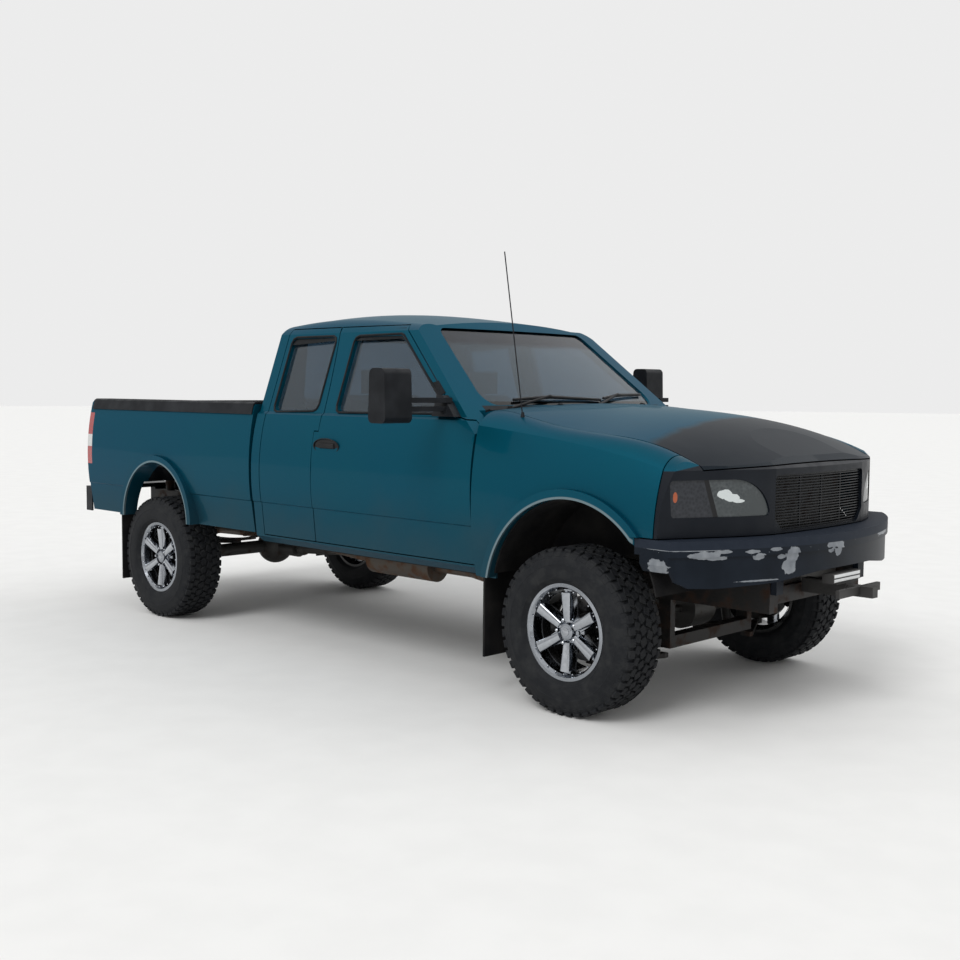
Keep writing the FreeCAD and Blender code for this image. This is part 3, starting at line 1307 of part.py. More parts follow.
def make_cabin():
    """Dashboard with the steering wheel, front and rear seats."""
    axle, floor = at.front_axle, at.floor_height + at.seat_gap
    board = [
        (axle - 700, 1050), (axle - 700, 1375), (axle - 790, 1395), (axle - 900, 1385), (axle - 985, 1300),
        (axle - 1000, 1180), (axle - 900, 1060), (axle - 800, 1020),
    ]
    half = at.belt_half - at.door_thickness - 8
    dash = prism(board, "XZ", -half, half)
    dash = dash.common(screen_block(at.roof_thickness + 12, -1000))
    stack = slab(axle - 960, axle - 760, -150, 150, at.hump_head + at.seat_gap, 1150)
    column = round_bar(34, (axle - 900, 375, 1190), (axle - 1090, 375, 1262))
    centre = Vector(axle - 1105, 375, 1268)
    tilt = Rotation(Vector(0, 0, 1), Vector(-190, 0, 72))
    ring = Part.makeTorus(184, 14)
    hub = Part.makeCylinder(52, 26, Vector(0, 0, -16))
    wheel = ring.fuse(hub)
    for turn in (90, 210, 330):
        arm = slab(0, 184, -13, 13, -7, 5)
        arm.rotate(Vector(), Vector(0, 0, 1), turn)
        wheel = wheel.fuse(arm)
    wheel.Placement = Placement(centre, tilt)
    dash = dash.multiFuse([stack, column, wheel])
    sub_part(solid("dashboard_form", single(dash)), "dashboard")

    def seat(front, back, left, right, cushion, top, lean, base):
        side = [
            (front, cushion - 60), (front - 30, cushion), (back + 110, cushion - 20),
            (back + 95 - lean, top - 30),
            (back + 60 - lean, top), (back + 10 - lean, top), (back - lean, top - 40), (back, cushion - 110),
            (back + 40, cushion - 150), (front - 40, cushion - 140),
        ]
        form = prism(side, "XZ", left, right)
        foot = slab(back + 60, front - 80, left + 60, right - 60, base, cushion - 130)
        return form.fuse(foot)

    front_seats = []
    for left, right in ((-690, -130), (130, 690)):
        place = axle - 1290
        shape = seat(place, place - 560, left, right, 1040, 1490, 110, floor)
        middle = (left + right) / 2
        head = slab(place - 655, place - 560, middle - 130, middle + 130, 1500, 1640)
        posts = slab(place - 615, place - 600, middle - 60, middle + 60, 1440, 1520)
        front_seats.append(single(shape.multiFuse([head, posts])))
    rear_place = at.cab_rear + at.rear_wall
    rear = seat(rear_place + 480, rear_place + 100, -690, 690, 1000, 1440, 60, floor)
    rear = rear.common(slab(rear_place + 20, 1000, -1000, 1000, 0, 2000))
    sub_part(solid("seat_form", Part.makeCompound(front_seats + [single(rear)])), "seats")


# Outside fittings

def make_fittings():
    """Mirrors, antenna, mud flaps, front receiver with its light bar, radiator, liners' stays."""
    axle = at.front_axle
    # towing mirrors, both drawn out: the right one stands square, the left one is swung back
    foot = [
        (axle - 740, 1392), (axle - 905, 1392), (axle - 905, 1500), (axle - 860, 1500),
    ]
    sail = prism(foot, "XZ", -960, -880).common(side_slab(-52, 51.7))

    def mirror_head(front, low, inner, outer):
        outline = [(front - 128, low), (front, low), (front - 8, low + 268), (front - 116, low + 268)]
        head = prism(rounded(outline, 30), "XZ", outer, inner)
        bowl = [
            (front - 138, low + 20), (front - 116, low + 20),
            (front - 116, low + 248), (front - 138, low + 248),
        ]
        return head, prism(rounded(bowl, 8), "XZ", outer + 14, inner - 14)

    head, bowl = mirror_head(axle - 770, 1363, -1215, -1392)
    arms = [slab(axle - 852, axle - 810, -1222, -900, low, low + 26) for low in (1418, 1462)]
    drawn = sail.multiFuse(arms + [head]).cut(bowl)
    head, bowl = mirror_head(axle - 1142, 1405, -1215, -1392)
    arms = [slab(axle - 852, axle - 810, -985, -900, low, low + 26) for low in (1418, 1462)]
    arms += [round_bar(13, (axle - 832, -972, mid), (axle - 1200, -1240, mid)) for mid in (1431, 1475)]
    swung = sail.multiFuse(arms + [head]).cut(bowl)
    sub_part(solid("mirror_right_form", single(drawn)), "mirror_right")
    sub_part(solid("mirror_left_form", single(flip(swung))), "mirror_left")

    base = Vector(axle - 393, -825, 1352)
    mast = round_bar(3, base + Vector(0, 0, 50), (axle - 525, -825, 2212))
    stub = Part.makeCone(18, 7, 70, base).cut(clip_form(-0.3, -0.3))
    antenna = mast.fuse(stub)
    sub_part(solid("antenna_form", single(antenna)), "antenna")

    flaps = []
    back = at.rear_axle
    front_flap = slab(axle - 532, axle - 520, -950, -715, 200, 600)
    stem = slab(axle - 532, axle - 520, -950, -715, 600, 700)
    front_flap = front_flap.fuse(stem.common(clip_form(at.clip_wall + 0.3, at.nose_depth)))
    rear_flap = slab(back - 437, back - 425, -975, -715, 210, at.box_foot - 0.3)
    for flap in (single(front_flap), rear_flap):
        flaps += [flap, flip(flap)]
    sub_part(solid("flap_form", Part.makeCompound(flaps)), "mud_flaps")

    # receiver under the bumper with a light bar and a hook
    reach = axle + at.bumper_reach
    tube = slab(axle + 710.3, reach + 12, -34, 34, 575, 643)
    bore = slab(axle + 700, reach + 20, -25.4, 25.4, 583.6, 634.4)
    tube = tube.cut(bore)
    bar = slab(reach - 60, reach + 12, -130, 80, 643, 652)
    lamp = [(reach - 40, 652), (reach + 18, 652), (reach + 18, 697), (reach - 40, 697)]
    lamp = prism(rounded(lamp, 8), "XZ", -170, 95)
    hook = slab(reach - 100, axle + at.front_overhang, -25.1, 25.1, 583.9, 634.1)
    plate = slab(reach + 60, reach + 78, -225, 175, 596, 634)
    hook = hook.fuse(plate)
    receiver = tube.multiFuse([bar, lamp])
    sub_part(solid("receiver_form", Part.makeCompound([single(receiver), single(hook)])), "front_receiver")

    radiator = block("radiator_core", "front_axle + 634", "0 - 340", "rail_foot + 120.3", "54", "680", "530")
    support = slab(axle + 634, axle + 660, -510, 510, 950, 990)
    for side in (-1, 1):
        low = side * 490 - 20
        stay = slab(axle + 634, axle + 780, low, low + 40, 950, 990)
        support = support.fuse(stay.common(clip_form(at.clip_wall + 0.3, at.nose_depth + 0.3)))
    support_bar = solid("radiator_support", single(support))
    sub_part(fuse("radiator_form", [radiator, support_bar]), "radiator")


def finish():
    """Check every object and write each sub-part's solids."""
    doc.recompute()
    for item in doc.Objects:
        if "Invalid" in item.State or "Error" in item.State:
            raise RuntimeError(f"{item.Label} failed: {item.State}")
    for item in NODES:
        if item.Shape.isNull() or not item.Shape.isValid() or not item.Shape.Solids:
            raise RuntimeError(f"{item.Label} has no valid solid")
    os.makedirs("parts", exist_ok=True)
    for item in NODES:
        item.Shape.exportStep(f"parts/{item.Label}.step")


if __name__ == "__main__":
    make_cab()
    make_front()
    make_box()
    make_bumpers()
    make_frame()
    make_wheels()
    make_steering_and_axles()
    make_cabin()
    make_fittings()
    finish()
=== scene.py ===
"""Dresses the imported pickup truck: finishes, detailed tyres and wheels, trim and a pale stage."""

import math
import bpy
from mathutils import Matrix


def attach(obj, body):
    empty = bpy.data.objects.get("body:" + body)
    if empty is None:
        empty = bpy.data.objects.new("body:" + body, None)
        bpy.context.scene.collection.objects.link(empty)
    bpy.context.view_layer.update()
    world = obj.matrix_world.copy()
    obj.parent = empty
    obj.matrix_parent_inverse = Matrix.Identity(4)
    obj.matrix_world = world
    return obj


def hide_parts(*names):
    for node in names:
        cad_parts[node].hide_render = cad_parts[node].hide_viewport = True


bl_info = {
    "name": "Pickup Truck Dressing",
    "version": (1, 0, 0),
    "blender": (4, 5, 0),
    "location": "View3D > Sidebar > Truck",
    "description": "Adds finishes, tyres, wheel details, trim and a stage to the pickup truck",
    "category": "Object",
}

import bmesh
import bpy
from bpy.props import FloatProperty, FloatVectorProperty, IntProperty
from mathutils import Matrix, Vector

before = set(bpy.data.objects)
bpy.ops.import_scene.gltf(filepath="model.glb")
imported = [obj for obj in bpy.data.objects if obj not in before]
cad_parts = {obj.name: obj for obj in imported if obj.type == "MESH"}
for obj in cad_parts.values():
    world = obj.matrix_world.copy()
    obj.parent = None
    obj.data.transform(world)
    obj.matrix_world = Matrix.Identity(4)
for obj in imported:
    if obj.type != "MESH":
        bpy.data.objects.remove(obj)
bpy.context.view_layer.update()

# Main places, in metres: axles along the truck, wheels across it
FRONT_AXLE = 1.765
REAR_AXLE = -1.761
TRACK_HALF = 0.845
WHEEL_LEVEL = 0.4
TYRE_HALF = 0.135

WHEELS = [
    ("front_right", FRONT_AXLE, -1),
    ("front_left", FRONT_AXLE, 1),
    ("rear_right", REAR_AXLE, -1),
    ("rear_left", REAR_AXLE, 1),
]
SIDES = (("right", -1), ("left", 1))

# The camera that was fitted to the photograph: place in metres, turns in radians
CAMERA_PLACE = (5.44524, -5.33905, 1.53394)
CAMERA_YAW, CAMERA_PITCH, CAMERA_ROLL = 2.33900393, -0.07373268, 0.00830022


# Sizes and colours that a user would change

class PaintSettings(bpy.types.PropertyGroup):
    body: FloatVectorProperty(
        name="Body Colour", description="Main colour of the body", subtype="COLOR",
        size=4, min=0, max=1, default=(0.0005, 0.062, 0.100, 1))
    nose: FloatVectorProperty(
        name="Nose Colour", description="Black of the nose and of the front of the hood", subtype="COLOR",
        size=4, min=0, max=1, default=(0.004, 0.006, 0.010, 1))
    dust: FloatProperty(
        name="Dust", description="How much dust lies on the lower panels", subtype="FACTOR",
        min=0, max=1, default=0.2)


class TyreSettings(bpy.types.PropertyGroup):
    blocks: IntProperty(
        name="Tread Blocks", description="Blocks in each row of the tread", min=12, max=60, default=46)
    tread_depth: FloatProperty(
        name="Tread Depth", description="Height of the tread blocks", unit="LENGTH",
        min=0.004, max=0.02, default=0.011)


class WheelSettings(bpy.types.PropertyGroup):
    rivets: IntProperty(
        name="Rim Rivets", description="Rivets round the lip of each wheel", min=0, max=60, default=24)
    rivet_radius: FloatProperty(
        name="Rivet Radius", description="Radius of a rivet's head", unit="LENGTH",
        min=0.002, max=0.01, default=0.0045)


class StageSettings(bpy.types.PropertyGroup):
    floor: FloatVectorProperty(
        name="Floor Colour", description="Colour of the floor", subtype="COLOR",
        size=4, min=0, max=1, default=(0.74, 0.74, 0.73, 1))
    lens: FloatProperty(
        name="Lens", description="Focal length of the camera in millimetres", min=20, max=120, default=46.258)


# Finishes

class Finish:
    """A surface material whose colour, roughness and relief come from procedural nodes."""

    def __init__(self, name, **sockets):
        self.material = bpy.data.materials.new(name)
        self.material.use_nodes = True
        self.tree = self.material.node_tree
        self.shader = self.tree.nodes["Principled BSDF"]
        for socket, value in sockets.items():
            self.shader.inputs[socket.replace("_", " ")].default_value = value
        self.place = self.node("TexCoord", out="Object")

    def node(self, kind, *values, out=0, **settings):
        """A new node with its inputs given in order, as numbers, colours or other nodes' outputs."""
        made = self.tree.nodes.new("ShaderNode" + kind)
        for key, value in settings.items():
            setattr(made, key, value)
        for socket, value in zip(made.inputs, values):
            if isinstance(value, bpy.types.NodeSocket):
                self.tree.links.new(value, socket)
            elif value is not None:
                socket.default_value = value
        return made.outputs[out]

    def calc(self, operation, *values):
        return self.node("Math", *values, operation=operation)

    def noise(self, scale, detail=3.0, stretch=(1, 1, 1)):
        """Noise from 0 to 1 over the object, stretched along its axes."""
        place = self.node("VectorMath", self.place, stretch, operation="MULTIPLY")
        return self.node("TexNoise", place, None, scale, detail)

    def ramp(self, value, low, high, at_low=0.0, at_high=1.0):
        """A value carried smoothly from one range to another."""
        return self.node("MapRange", value, low, high, at_low, at_high, interpolation_type="SMOOTHSTEP")

    def slope(self, value, start, rate):
        """How far a value is past a start, times a rate."""
        return self.calc("MULTIPLY", self.calc("MAXIMUM", self.calc("SUBTRACT", value, start), 0.0), rate)

    def product(self, first, *others):
        """Several masks or numbers multiplied."""
        for other in others:
            first = self.calc("MULTIPLY", first, other)
        return first

    def axis(self, name):
        return self.node("SeparateXYZ", self.place, out=name)

    def side(self):
        """Distance from the truck's middle plane."""
        return self.calc("ABSOLUTE", self.axis("Y"))

    def mix(self, factor, first, second):
        """One colour or number turned into another."""
        made = self.tree.nodes.new("ShaderNodeMix")
        made.data_type = "RGBA"
        for index, value in ((0, factor), (6, first), (7, second)):
            if isinstance(value, bpy.types.NodeSocket):
                self.tree.links.new(value, made.inputs[index])
            else:
                made.inputs[index].default_value = value
        return made.outputs[2]

    def spots(self, places, ragged=0.5, scale=60):
        """1 inside any of the given ellipsoids, with ragged edges."""
        nearest = None
        for centre, size in places:
            offset = self.node("VectorMath", self.place, centre, operation="SUBTRACT")
            offset = self.node("VectorMath", offset, size, operation="DIVIDE")
            length = self.node("VectorMath", offset, operation="LENGTH", out="Value")
            nearest = length if nearest is None else self.calc("MINIMUM", nearest, length)
        grain = self.calc("MULTIPLY", self.calc("SUBTRACT", self.noise(scale, 4), 0.5), ragged * 2)
        return self.ramp(self.calc("ADD", nearest, grain), 1.03, 0.97)

    def colour(self, value):
        self.link("Base Color", value)

    def link(self, socket, value):
        self.tree.links.new(value, self.shader.inputs[socket])

    def bump(self, height, strength, distance):
        normal = self.node("Bump", out="Normal")
        made = normal.node
        made.inputs["Strength"].default_value = strength
        made.inputs["Distance"].default_value = distance
        self.tree.links.new(height, made.inputs["Height"])
        self.link("Normal", normal)


def dusty(finish, base, amount, low=0.55, high=1.02):
    """Dust that thickens towards the ground."""
    cloud = finish.calc("MULTIPLY", finish.noise(3.5, 5), 0.5)
    level = finish.calc("ADD", finish.axis("Z"), finish.calc("SUBTRACT", cloud, 0.25))
    mask = finish.calc("MULTIPLY", finish.ramp(level, high, low), amount)
    return finish.mix(mask, base, (0.085, 0.08, 0.07, 1)), mask


# how metallic the body's paint is, on every panel that carries its colour
PAINT_METAL = 0.6


def clear_coated(name, settings, **sockets):
    """A clear-coated finish, and the body's colour with its metal flakes."""
    paint = Finish(name, Coat_Weight=0.14, Coat_Roughness=0.05, Specular_IOR_Level=0.12,
                   Specular_Tint=(0.1, 0.42, 0.55, 1), **sockets)
    paint.bump(paint.noise(180, 2), 0.04, 0.0006)
    flake = paint.ramp(paint.noise(900, 2), 0.35, 0.7)
    light = [min(1.0, channel * 1.3 + 0.002) for channel in settings.body[:3]] + [1]
    return paint, paint.mix(flake, tuple(settings.body), light)


def metallic_paint(settings):
    """Dark metallic body paint under a clear coat, dusty along the sills, darker towards the bottom as
    painted shade, with a painted highlight at the arches' lips.
    """
    paint, colour = clear_coated("body_paint_metallic", settings, Metallic=PAINT_METAL)
    fade = paint.ramp(paint.noise(1.6, 4), 0.35, 0.75)
    colour = paint.mix(paint.calc("MULTIPLY", fade, 0.3), colour, (0.001, 0.080, 0.112, 1))
    # painted shade: the body darkens towards the bottom, standing in for the reflection of the dark ground
    low = paint.calc("MULTIPLY", paint.ramp(paint.axis("Z"), 1.3, 0.7), 0.45)
    colour = paint.mix(low, colour, (0.0002, 0.034, 0.058, 1))
    colour, dust = dusty(paint, colour, settings.dust)
    # painted highlight: a pale grey band along the lips of the wheel arches
    lip = arch_lip_highlight(paint)
    colour = paint.mix(paint.calc("MULTIPLY", lip, 0.8), colour, (0.20, 0.26, 0.28, 1))
    inside = cabin_mask(paint)
    colour = paint.mix(inside, colour, (0.022, 0.025, 0.030, 1))
    bed = bed_mask(paint)
    colour = paint.mix(bed, colour, (0.008, 0.009, 0.011, 1))
    paint.colour(colour)
    rough = paint.calc("ADD", paint.calc("MULTIPLY", dust, 0.8), 0.36)
    rough = paint.calc("ADD", rough, paint.calc("MULTIPLY", paint.calc("MAXIMUM", inside, bed), 0.4))
    paint.link("Roughness", rough)
    return paint.material


# painted highlight along the lips of the wheel arches, in metres: centre along the truck, its height, and
# radius
ARCH_LIP_HIGHLIGHTS = [(FRONT_AXLE + 0.036, 0.527, 0.508), (REAR_AXLE + 0.015, 0.651, 0.388)]


def arch_lip_highlight(finish):
    """1 on the painted highlight along the lip round the wheel arches."""
    flat = finish.node("CombineXYZ", finish.axis("X"), 0.0, finish.axis("Z"))
    bands = None
    for centre, level, radius in ARCH_LIP_HIGHLIGHTS:
        reach = finish.node("VectorMath", flat, (centre, 0, level), operation="DISTANCE", out="Value")
        band = finish.ramp(finish.calc("ABSOLUTE", finish.calc("SUBTRACT", reach, radius)), 0.008, 0.004)
        bands = band if bands is None else finish.calc("MAXIMUM", bands, band)
    outer = finish.ramp(finish.side(), 0.985, 0.990)
    return finish.calc("MULTIPLY", bands, outer)


# inside of the cab, in metres: half width up to the belt, sill, rear wall, and the roof's highest part
CAB_HALF, CAB_BELT, CAB_SILL, CAB_BACK = 0.868, 1.3, 0.63, -0.655
ROOF_TOP, ROOF_FRONT, ROOF_REAR = 1.966, -0.1, -0.3
# where the inside of the windshield meets the ground if drawn on, and the height of its foot
SCREEN_REACH, SCREEN_FOOT = 2.79, 1.44
# how fast the sides lean in, the roof falls ahead, behind and sideways, and the windshield leans back
SIDE_LEAN, FALL_AHEAD, FALL_BEHIND, ROOF_CROWN, SCREEN_LEAN = 0.34, 0.105, 0.07, 0.14, 1.24


def cabin_mask(finish):
    """1 inside the cab, where panels are trimmed in dark plastic and carpet."""
    height, along, side = finish.axis("Z"), finish.axis("X"), finish.side()
    half = finish.calc("SUBTRACT", CAB_HALF, finish.slope(height, CAB_BELT, SIDE_LEAN))
    across = finish.ramp(finish.calc("SUBTRACT", half, side), 0.0, 0.004)
    ahead = finish.slope(along, ROOF_FRONT, FALL_AHEAD)
    behind = finish.slope(finish.calc("MULTIPLY", along, -1.0), -ROOF_REAR, FALL_BEHIND)
    fall = finish.calc("ADD", finish.calc("ADD", ahead, behind), finish.product(side, side, ROOF_CROWN))
    roof = finish.calc("SUBTRACT", ROOF_TOP, fall)
    under_roof = finish.ramp(finish.calc("SUBTRACT", roof, height), 0.0, 0.004)
    above_sill = finish.ramp(height, CAB_SILL, CAB_SILL + 0.01)
    # the inside ends further back as it rises, and at one place below the windshield
    lean = finish.calc("MULTIPLY", finish.calc("MAXIMUM", height, SCREEN_FOOT), SCREEN_LEAN)
    inside = finish.ramp(finish.calc("ADD", along, lean), SCREEN_REACH + 0.01, SCREEN_REACH)
    back = finish.ramp(along, CAB_BACK, CAB_BACK + 0.007)
    return finish.product(across, under_roof, inside, back, above_sill)


# inside of the cargo box, in metres: half width, floor, front wall and tailgate
BED_HALF, BED_FLOOR, BED_FRONT, BED_REAR = 0.856, 0.87, -0.73, -2.61


def bed_mask(finish):
    """1 on the floor and inner walls of the cargo box, which are sprayed black."""
    across = finish.ramp(finish.side(), BED_HALF + 0.006, BED_HALF)
    ahead = finish.ramp(finish.axis("X"), BED_FRONT + 0.008, BED_FRONT)
    above = finish.ramp(finish.axis("Z"), BED_FLOOR - 0.01, BED_FLOOR)
    behind = finish.ramp(finish.axis("X"), BED_REAR - 0.01, BED_REAR)
    return finish.product(across, ahead, above, behind)


# the black of the hood, in metres: where it starts along the truck, where it is full, and its slant
HOOD_BLACK_START, HOOD_BLACK_FULL, HOOD_BLACK_SLANT = 2.03, 2.10, 0.10


def hood_paint(settings):
    """The body's paint, sprayed black over the front of the hood in a slanting line."""
    paint, colour = clear_coated("hood_paint_two_tone", settings)
    slant = paint.calc("ADD", paint.axis("X"), paint.calc("MULTIPLY", paint.axis("Y"), HOOD_BLACK_SLANT))
    slant = paint.calc("ADD", slant, paint.calc("MULTIPLY", paint.noise(9, 3), 0.05))
    black = paint.ramp(slant, HOOD_BLACK_START, HOOD_BLACK_FULL)
    colour = paint.mix(black, colour, tuple(settings.nose))
    grime = paint.ramp(paint.noise(5, 5), 0.45, 0.8)
    colour = paint.mix(paint.calc("MULTIPLY", grime, 0.08), colour, (0.06, 0.065, 0.07, 1))
    paint.colour(colour)
    paint.link("Metallic", paint.ramp(black, 0, 1, PAINT_METAL, 0.1))
    paint.link("Roughness", paint.calc("ADD", paint.calc("MULTIPLY", black, 0.14), 0.34))
    return paint.material


# the line at the nose's upper corners: its height at the truck's middle, and its fall outwards
CORNER_LINE, CORNER_FALL = 1.344, 0.18


def black_paint(settings):
    """Black spray paint of the nose, a little dull and dusty, with the body's colour at its corners."""
    paint = Finish("nose_paint_black", Coat_Weight=0.05, Coat_Roughness=0.2, Specular_IOR_Level=0.15)
    haze = paint.ramp(paint.noise(6, 5), 0.35, 0.8)
    colour = paint.mix(paint.calc("MULTIPLY", haze, 0.2), tuple(settings.nose), (0.022, 0.026, 0.032, 1))
    # the fender's colour runs on round the corner, up to the hood's front corner
    rise = paint.calc("ADD", paint.axis("Z"), paint.calc("MULTIPLY", paint.side(), CORNER_FALL))
    corner = paint.ramp(rise, CORNER_LINE, CORNER_LINE + 0.004)
    colour = paint.mix(corner, colour, tuple(settings.body))
    paint.colour(colour)
    paint.link("Metallic", paint.ramp(corner, 0, 1, 0.0, PAINT_METAL))
    paint.link("Roughness", paint.ramp(paint.noise(14, 4), 0.3, 0.7, 0.36, 0.5))
    paint.bump(paint.noise(420, 2), 0.06, 0.0006)
    return paint.material


# where the front bumper's painted face ends and its top pad starts, in metres
PAD_FOOT = 0.845

# worn patches of the front bumper: centre and half size of each, in metres
BUMPER_WEAR = [
    ((2.475, -0.850, 0.822), (0.2, 0.066, 0.016)),
    ((2.455, -0.800, 0.808), (0.2, 0.050, 0.010)),
    ((2.500, -0.775, 0.836), (0.2, 0.040, 0.008)),
    ((2.310, -0.984, 0.772), (0.058, 0.2, 0.034)),
    ((2.584, -0.640, 0.832), (0.2, 0.036, 0.008)),
    ((2.594, -0.605, 0.808), (0.2, 0.030, 0.016)),
    ((2.622, -0.520, 0.838), (0.2, 0.034, 0.010)),
    ((2.650, -0.420, 0.806), (0.2, 0.040, 0.040)),
    ((2.645, -0.435, 0.756), (0.2, 0.044, 0.036)),
    ((2.635, -0.480, 0.800), (0.2, 0.026, 0.010)),
    ((2.702, -0.130, 0.836), (0.2, 0.070, 0.016)),
    ((2.702, -0.090, 0.806), (0.2, 0.030, 0.030)),
    ((2.702, -0.150, 0.808), (0.2, 0.022, 0.014)),
    ((2.640, 0.450, 0.845), (0.2, 0.110, 0.014)),
    ((2.450, -0.900, 0.846), (0.3, 0.150, 0.005)),
    ((2.560, -0.600, 0.700), (0.2, 0.110, 0.004)),
]


def bumper_paint():
    """Steel bumper in black paint that peels to bare grey metal, under a dark rubber pad."""
    paint = Finish("bumper_paint_peeling", Specular_IOR_Level=0.15)
    wear = paint.spots(BUMPER_WEAR, 0.6, 34)
    flecks = paint.ramp(paint.noise(70, 5), 0.70, 0.715)
    edge = paint.ramp(paint.axis("Z"), 0.80, 0.83)
    face = paint.ramp(paint.axis("Z"), PAD_FOOT + 0.002, PAD_FOOT - 0.001)
    flecks = paint.product(flecks, edge, face)
    wear = paint.calc("MULTIPLY", paint.calc("MAXIMUM", wear, flecks), face)
    shade = paint.ramp(paint.noise(7, 5), 0.3, 0.75)
    base = paint.mix(shade, (0.002, 0.005, 0.010, 1), (0.005, 0.009, 0.016, 1))
    metal = paint.mix(paint.noise(25, 5), (0.10, 0.115, 0.14, 1), (0.34, 0.36, 0.38, 1))
    pad = paint.mix(paint.noise(30, 4), (0.009, 0.014, 0.024, 1), (0.016, 0.022, 0.034, 1))
    colour = paint.mix(face, pad, paint.mix(wear, base, metal))
    paint.colour(colour)
    rough = paint.mix(face, (0.6, 0.6, 0.6, 1), paint.mix(wear, (0.42, 0.42, 0.42, 1), (0.36, 0.36, 0.36, 1)))
    paint.link("Roughness", rough)
    paint.link("Metallic", paint.calc("MULTIPLY", wear, 0.7))
    height = paint.calc("SUBTRACT", paint.calc("MULTIPLY", paint.noise(220, 2), 0.15), wear)
    paint.bump(height, 0.5, 0.0012)
    return paint.material


def plain_plastic(name, dark, pale, roughness, grain=500, strength=0.25):
    """Moulded plastic or rubber with a fine grain and faded, dusty patches."""
    plastic = Finish(name, Specular_IOR_Level=0.14)
    fade = plastic.ramp(plastic.noise(8, 5), 0.3, 0.8)
    plastic.colour(plastic.mix(fade, dark, pale))
    sheen = plastic.noise(11, 4)
    plastic.link("Roughness", plastic.ramp(sheen, 0.3, 0.7, roughness - 0.08, roughness + 0.08))
    plastic.bump(plastic.noise(grain, 3), strength, 0.0006)
    return plastic.material


def tyre_rubber():
    """Dusty black rubber with dried mud."""
    rubber = Finish("tyre_rubber_dusty", Specular_IOR_Level=0.12)
    mud = rubber.ramp(rubber.noise(22, 6), 0.42, 0.72)
    base = rubber.mix(rubber.noise(60, 4), (0.008, 0.009, 0.011, 1), (0.016, 0.017, 0.019, 1))
    rubber.colour(rubber.mix(rubber.calc("MULTIPLY", mud, 0.4), base, (0.042, 0.043, 0.043, 1)))
    rubber.link("Roughness", rubber.ramp(mud, 0.0, 1.0, 0.62, 0.92))
    rubber.bump(rubber.noise(160, 5), 0.35, 0.0015)
    return rubber.material


def wheel_alloy():
    """Machined aluminium spokes and lip, with the barrel and brake behind them darkened as painted shade."""
    alloy = Finish("wheel_alloy_machined")
    face = alloy.ramp(alloy.side(), TRACK_HALF + 0.039, TRACK_HALF + 0.055)
    bright = alloy.mix(alloy.noise(120), (0.26, 0.28, 0.31, 1), (0.42, 0.44, 0.47, 1))
    dirt = alloy.ramp(alloy.noise(9, 5), 0.5, 0.8)
    bright = alloy.mix(alloy.calc("MULTIPLY", dirt, 0.2), bright, (0.09, 0.09, 0.09, 1))
    # painted shade: the barrel and brake further in, behind the spokes, are near black
    dark = alloy.mix(alloy.noise(30, 4), (0.008, 0.009, 0.010, 1), (0.022, 0.022, 0.022, 1))
    alloy.colour(alloy.mix(face, dark, bright))
    alloy.link("Metallic", alloy.ramp(face, 0, 1, 0.3, 1.0))
    alloy.link("Roughness", alloy.ramp(dirt, 0, 1, 0.14, 0.3))
    alloy.bump(alloy.noise(300, 2), 0.05, 0.0008)
    return alloy.material


def chassis_metal(name, base, rust, amount):
    """Painted or bare steel under the truck, with rust and dried mud."""
    metal = Finish(name, Metallic=0.4, Specular_IOR_Level=0.3)
    spread = metal.ramp(metal.noise(14, 6), 0.62 - amount * 0.3, 0.74)
    fine = metal.ramp(metal.noise(90, 4), 0.3, 0.8)
    colour = metal.mix(spread, base, rust)
    colour, dust = dusty(metal, colour, 0.12, 0.2, 1.1)
    metal.colour(metal.mix(metal.calc("MULTIPLY", fine, 0.12), colour, (0.05, 0.042, 0.036, 1)))
    metal.link("Roughness", metal.ramp(spread, 0, 1, 0.5, 0.88))
    metal.bump(metal.noise(130, 5), 0.3, 0.001)
    return metal.material


def tinted_glass(name, tint, clear):
    """Door, rear or windshield glass, faintly dusty."""
    glass = Finish(name, IOR=1.45, Transmission_Weight=clear, Coat_Weight=0.15, Coat_Roughness=0.03)
    film = glass.ramp(glass.noise(3, 5), 0.35, 0.8)
    glass.colour(glass.mix(glass.calc("MULTIPLY", film, 0.12), tint, (0.35, 0.36, 0.36, 1)))
    glass.link("Roughness", glass.ramp(glass.noise(7, 4), 0.3, 0.8, 0.02, 0.08))
    return glass.material


def windshield_glass():
    """Windshield with a dark band along its top and a black frit at its edges."""
    glass = Finish("windshield_glass", IOR=1.45, Transmission_Weight=0.9)
    height = glass.axis("Z")
    band = glass.ramp(height, 1.76, 1.80)
    edge = glass.calc("MAXIMUM", glass.ramp(height, 1.850, 1.856), glass.ramp(height, 1.472, 1.466))
    colour = glass.mix(band, (0.16, 0.25, 0.32, 1), (0.04, 0.06, 0.10, 1))
    film = glass.ramp(glass.noise(3, 5), 0.35, 0.8)
    colour = glass.mix(glass.calc("MULTIPLY", film, 0.12), colour, (0.42, 0.47, 0.50, 1))
    glass.colour(glass.mix(edge, colour, (0.01, 0.01, 0.01, 1)))
    glass.link("Roughness", glass.ramp(glass.noise(7, 4), 0.3, 0.8, 0.02, 0.08))
    return glass.material


# painted highlight in the reflector of the left headlamp, and its amber marker: centre and half size of each
# spot, in metres
LAMP_REFLECTOR_HIGHLIGHT = [
    ((2.46, 0.672, 1.078), (0.3, 0.034, 0.020)),
    ((2.46, 0.640, 1.062), (0.3, 0.036, 0.017)),
    ((2.46, 0.606, 1.046), (0.3, 0.030, 0.008)),
]
LAMP_MARKER = [((2.4, 0.895, 1.068), (0.3, 0.010, 0.024))]


def both_sides(places):
    """Spots on the left side of the truck, and the same on its right side."""
    return places + [((x, -y, z), size) for (x, y, z), size in places]


